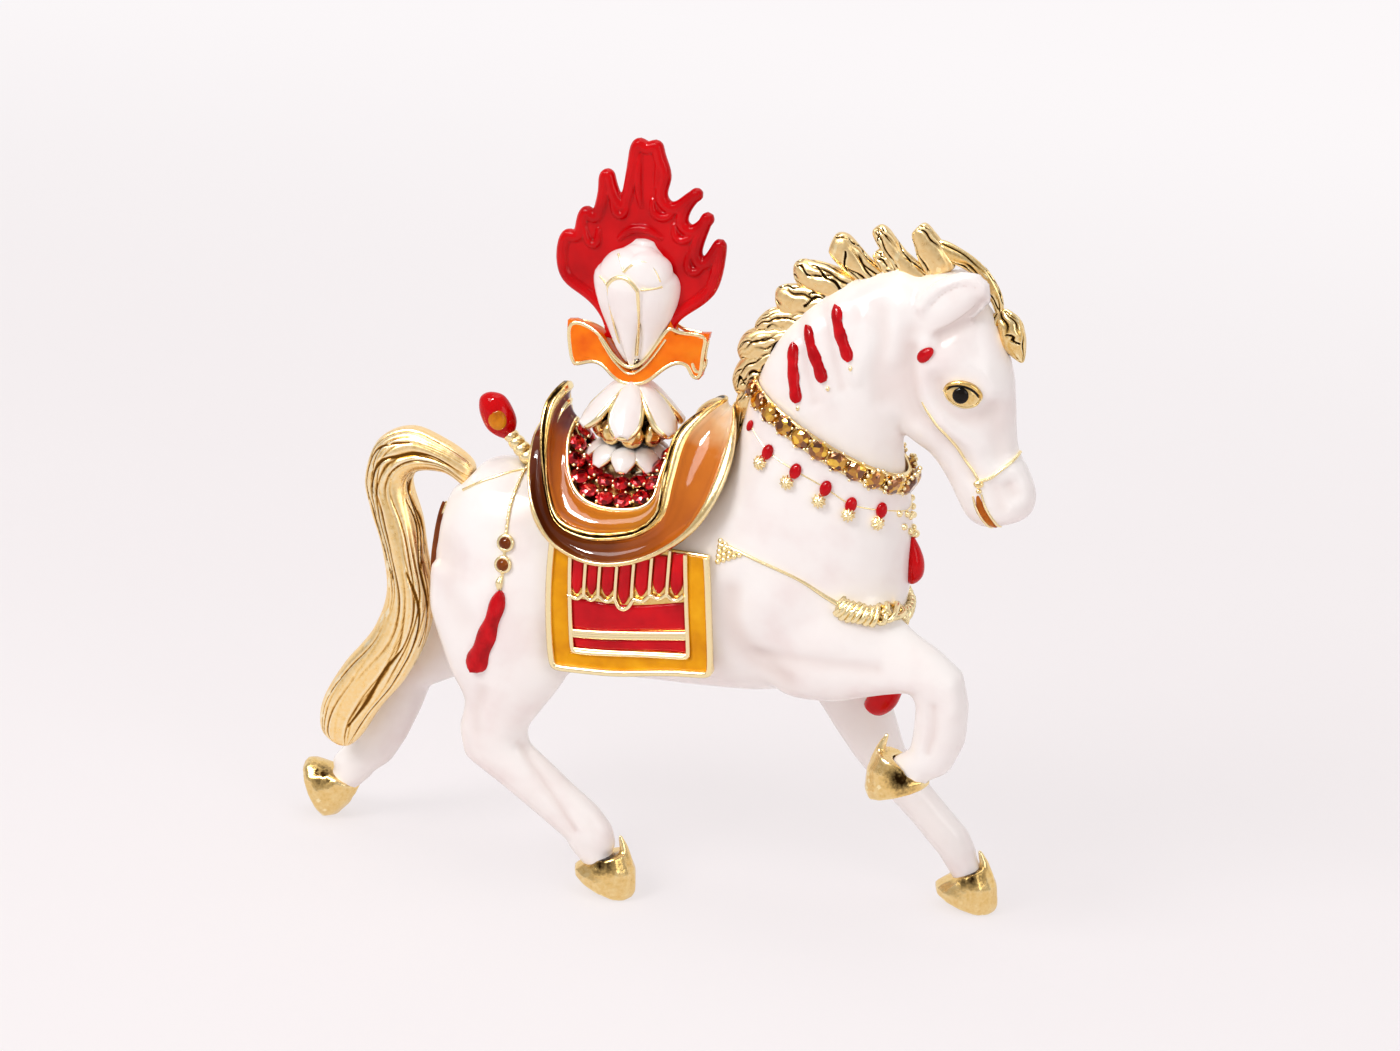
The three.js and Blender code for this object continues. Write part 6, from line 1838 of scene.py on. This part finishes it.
# %% Hip tassels
hip_path = [
    (-18.1, 8.7, 37.4), (-18.6, 9.0, 34.6), (-19.3, 9.2, 31.8), (-20.2, 9.3, 29.0), (-20.9, 9.2, 27.0),
]
hip_widths = [1.3, 2.1, 1.9, 2.6, 2.4, 3.1, 2.6]
for side_name, side in sides:
    piece = stroke("hip_tassel_enamel_" + side_name, mirrored(hip_path, side), hip_widths, 1.0)
    finish(piece, bead_red, "red_enamel", "hip_tassel_" + side_name)

# %% [markdown]
# The croup carries a red drop with a window of honey enamel in each face, clear and bright like a candied
# fruit, so the drop reads as a jewel.

# %% Croup jewel
band_amber = enamel("honey_cold_enamel", "#a8560c", "#cf7a12", "#e8981e", cloud=2.0, roughness=0.08)
jewel_stations = [
    (-21.6, 52.9, -20.4, 53.5, 0.7), (-23.6, 53.9, -20.2, 55.3, 1.5), (-24.7, 55.8, -20.9, 57.0, 1.6),
    (-24.9, 57.4, -22.0, 58.3, 1.1), (-24.5, 58.2, -23.6, 58.6, 0.4),
]
finish(hung("croup_jewel_enamel", jewel_stations), flame_enamel, "red_enamel", "croup_jewel")
for side_name, side in sides:
    window = ball("jewel_window_" + side_name, at(-22.2, -side * 1.25, 55.7), (1.35, 1.15, 0.55),
                  (0, -side, 0.1), (-0.45, 0, 1))
    finish(window, band_amber, "red_enamel", "croup_jewel")

# %% [markdown]
# From the jewel's stem a fine chain goes down each hip to two cabochons in gold rings and to the tassel, and
# a thin crupper runs back. The cabochons are a brown enamel, dark and clear like strong tea.

# %% Hip chain
amber_brown = enamel("amber_brown_cold_enamel", "#5a2208", "#7c3a0e", "#a85c18", roughness=0.08)
chain_path = [
    (-18.2, 8.4, 37.6), (-18.1, 8.1, 39.0), (-18.1, 8.0, 40.5), (-18.1, 7.9, 41.8), (-18.1, 7.7, 43.1),
    (-18.2, 7.4, 44.6), (-18.3, 6.4, 47.0), (-18.1, 4.8, 49.0), (-18.0, 2.2, 50.6), (-18.0, 0, 51.0),
]
crupper_path = [
    (-24.9, 3.8, 47.1), (-23.4, 4.2, 48.1), (-21.8, 4.0, 49.0), (-20.2, 3.5, 49.8), (-18.3, 2.4, 50.4),
]
leaf_path = [(-18.2, 8.4, 38.9), (-18.4, 8.4, 38.2), (-18.3, 8.4, 37.3)]
stem_path = [(-18.0, 0, 50.4), (-18.6, 0, 51.6), (-19.8, 0, 52.6), (-21.0, 0, 53.4)]
stem_balls = [(-18.5, 51.3, 1.15), (-19.3, 52.1, 1.1), (-20.0, 52.8, 1.05), (-20.7, 53.5, 0.95)]
links = 14
chain_parts, cabochons = [], []
for side in (1, -1):
    chain_parts.append(skin_cord("chain", mirrored(chain_path, side), 0.2, lift=0.12))
    chain_parts.append(skin_cord("crupper", mirrored(crupper_path, side), 0.17, lift=0.08))
    for k in range(links):
        spot = smooth(mirrored(chain_path, side), 0.5 + 0.5 * k / links)
        chain_parts.append(skin_ball("link", spot, (0.3, 0.24, 0.24), lift=0.15, segments=8, rings=5))
    for x, z in ((-18.1, 43.1), (-18.1, 40.5)):
        centre, normal = on_skin(x, -side * 8, z, lift=0.25)
        lie = turned_to(normal)
        ring = [centre + lie @ Vector((math.cos(a * 0.524), math.sin(a * 0.524), 0)) * 0.88 * mm
                for a in range(12)]
        chain_parts.append(cord("cup", ring, 0.26, roundness=1, closed=True))
        cabochons.append(ball("cabochon", centre, (0.78, 0.78, 0.62), normal))
    chain_parts.append(skin_cord("leaf", mirrored(leaf_path, side), [0.3, 0.5, 0.25], lift=0.2))
for x, z, size in stem_balls:
    chain_parts.append(ball("stem", at(x, 0, z), (size, size, size * 0.9)))
chain_parts.append(cord("stem", [at(*place) for place in stem_path], [0.9, 0.6, 0.55, 0.6]))
finish(joined("hip_chain_gold", chain_parts), line_gold, "gold_plate", "hip_harness")
finish(joined("hip_cabochons", cabochons), amber_brown, "amber_enamel", "hip_harness")

# %% [markdown]
# On the right of the rump lies a slender leaf of the same brown enamel between two gold edges, which follow
# its width.

# %% Rump leaf
pendant_path = [
    (-29.2, 3.3, 45.6), (-30.4, 3.4, 42.4), (-30.6, 3.3, 39.0), (-30.2, 3.1, 35.6), (-29.6, 2.9, 33.8),
]
leaf_widths, edge_reaches = [0.4, 1.5, 1.8, 1.4, 0.4], (0.2, 0.9, 1.0, 0.8, 0.1)
pendant = stroke("rump_leaf_enamel", mirrored(pendant_path, 1), leaf_widths, 0.7)
finish(pendant, amber_brown, "amber_enamel", "rump_pendant")
leaf_edges = []
for shift in (-0.8, 0.8):
    line = [(x, -y + shift * reach, z) for (x, y, z), reach in zip(pendant_path, edge_reaches)]
    leaf_edges.append(skin_cord("leaf_edge", line, [0.12, 0.2, 0.2, 0.2, 0.12], lift=0.1))
finish(joined("rump_leaf_gold", leaf_edges), line_gold, "gold_plate", "rump_pendant")

# %% [markdown]
# The pin that carries the finial is the one plain solid that is carried over as it is. It stands hidden
# inside the bud, the bead ring and the saddle. On the real piece it is a length of drawn steel wire: bright,
# slightly grey, with fine lines along its length from the die.

# %% Pin
def drawn_steel():
    """Steel wire: pale grey metal whose drawing lines run along z, about 0.1 mm apart."""
    line_gap, line_depth = 0.1, 0.01
    material, tree, shader, place = start_material("drawn_steel_wire")
    along = add_node(tree, "Mapping", {"Vector": place, "Scale": (1, 1, 0.02)})
    lines = add_node(tree, "TexNoise", {"Vector": along, "Scale": per_mm(line_gap)})
    greys = add_node(tree, "ValToRGB", {"Fac": lines}, stops=[(0.35, "#a9abad"), (0.65, "#c9cbcc")])
    relief = add_node(tree, "Bump", {"Height": lines, "Distance": line_depth * mm})
    feed(tree, shader, {"Base Color": greys, "Metallic": 1.0, "Roughness": 0.25, "Normal": relief})
    return material


pin = frame["nodes"]["finial_pin"]
pin.data.materials.clear()
pin.data.materials.append(drawn_steel())
print("finial_pin in", pin.data.materials[0].name)

# %% [markdown]
# The stage is one plain pale sheet that curves up behind the statuette, as photographers use. The paper is
# matt, with a faint warm unevenness. In the photo it is nearly white, but more light on the object would burn
# out its enamel. So the paper glows a little for the camera and in reflections only, more toward the back,
# and keeps the shadow on the floor.

# %% Backdrop
def plain_paper():
    """White paper that the camera, gold and glass also see glowing, as a lit sweep does."""
    near, far, near_glow = 60, 460, 0.68
    material, tree, shader, place = start_material("pale_backdrop_paper")
    fibres = add_node(tree, "TexNoise", {"Vector": place, "Scale": per_mm(60.0)})
    tint = add_node(tree, "ValToRGB", {"Fac": fibres}, stops=[(0.3, "#eee5e6"), (0.7, "#f0e8e9")])
    feed(tree, shader, {"Base Color": tint, "Roughness": 0.9, "Specular IOR Level": 0.0})
    seen = add_node(tree, "LightPath", out="Is Camera Ray")
    for ray in ("Is Glossy Ray", "Is Transmission Ray"):
        other = add_node(tree, "LightPath", out=ray)
        seen = add_node(tree, "Math", {0: seen, 1: other}, operation="MAXIMUM")
    depth = add_node(tree, "SeparateXYZ", {"Vector": place}, out="Y")
    rise = add_node(tree, "MapRange", {
        "Value": depth, "From Min": near * mm, "From Max": far * mm, "To Min": near_glow, "To Max": 1.0,
    }, interpolation_type="SMOOTHSTEP")
    share = add_node(tree, "Math", {0: seen, 1: rise}, operation="MULTIPLY")
    glow = add_node(tree, "Emission", {"Color": linear("#fcf8f9"), "Strength": 1.0})
    both = add_node(tree, "MixShader", {0: share, 1: shader.outputs[0], 2: glow})
    feed(tree, tree.nodes["Material Output"], {"Surface": both})
    return material


def backdrop():
    """One bent sheet: floor in front, a soft curve, and a wall behind."""
    front, behind, bend, height, half_width = 900, 500, 220, 1100, 4000

    def place(u, v):
        along = v * (front + behind + math.pi / 2 * bend + height)
        x = (u - 0.5) * 2 * half_width
        if along < front + behind:
            return x, along - front, 0
        turn = (along - front - behind) / bend
        if turn < math.pi / 2:
            return x, behind + bend * math.sin(turn), bend * (1 - math.cos(turn))
        return x, behind + bend, bend + (turn - math.pi / 2) * bend

    return sheet("backdrop", 4, 60, place)


paper = backdrop()
pick(paper)
bpy.ops.object.shade_smooth()
paper.data.materials.append(plain_paper())
print(paper.name, len(paper.data.polygons), "faces")

# %% [markdown]
# The light is soft and plain. A low even light comes from all round, a large panel stands high on the left
# in front, and weaker ones on the right and above. A small bright panel, seen only in reflections, puts the
# sharp sparks on enamel and gold, as a bare bulb far off would.

# %% Light
world = bpy.context.scene.world or bpy.data.worlds.new("studio")
bpy.context.scene.world = world
world.use_nodes = True
feed(world.node_tree, world.node_tree.nodes["Background"], {"Color": linear("#fffafa"), "Strength": 0.52})


def lamp(name, place, size, power):
    """A round white panel of a size in millimetres, aimed at the middle of the statuette."""
    light = bpy.data.lights.new(name, "AREA")
    light.shape = "DISK"
    light.size = size * mm
    light.energy = power
    made = add_object(name, light)
    made.location = at(*place)
    direction = at(0, 0, 45) - made.location
    made.rotation_euler = direction.to_track_quat("-Z", "Y").to_euler()
    return made


lamp("key_panel", (-260, -330, 420), 260, 1.4)
lamp("spark_panel", (-120, -300, 460), 110, 3.2).visible_diffuse = False
lamp("fill_panel", (380, -260, 220), 260, 0.38)
lamp("top_panel", (0, 60, 520), 360, 0.5)
print(len(bpy.data.lights), "panels")

# %% [markdown]
# The camera stands where the photographer stood, a little above and to the right of the middle, with a long
# lens, so that the statuette is hardly foreshortened. The picture leans by a few degrees, as the photo does,
# and it is shifted by moving the camera, at the photo's 8.5 pixels to a millimetre.

# %% Camera
camera_angle, camera_height, camera_roll = math.radians(15), math.radians(20), math.radians(4)
camera_distance = 457.5
aim_place = Vector((0, 0, 46.3))
pixels_per_mm = 8.5
frame_shift = (25 / pixels_per_mm, -5.5 / pixels_per_mm)
back = Vector((
    math.sin(camera_angle) * math.cos(camera_height),
    -math.cos(camera_angle) * math.cos(camera_height),
    math.sin(camera_height),
))
level_right = Vector((math.cos(camera_angle), math.sin(camera_angle), 0))
level_up = back.cross(level_right)
right = level_right * math.cos(camera_roll) + level_up * math.sin(camera_roll)
up = level_up * math.cos(camera_roll) - level_right * math.sin(camera_roll)
stand = aim_place + back * camera_distance + right * frame_shift[0] + up * frame_shift[1]

camera = add_object("camera", bpy.data.cameras.new("camera"))
camera.data.lens = 100
camera.data.sensor_width = 36
camera.matrix_world = Matrix.Translation(at(*stand)) @ Matrix((right, up, back)).transposed().to_4x4()
bpy.context.scene.camera = camera
bpy.context.scene.view_settings.view_transform = "Standard"
print("camera", [round(c, 4) for c in camera.location])
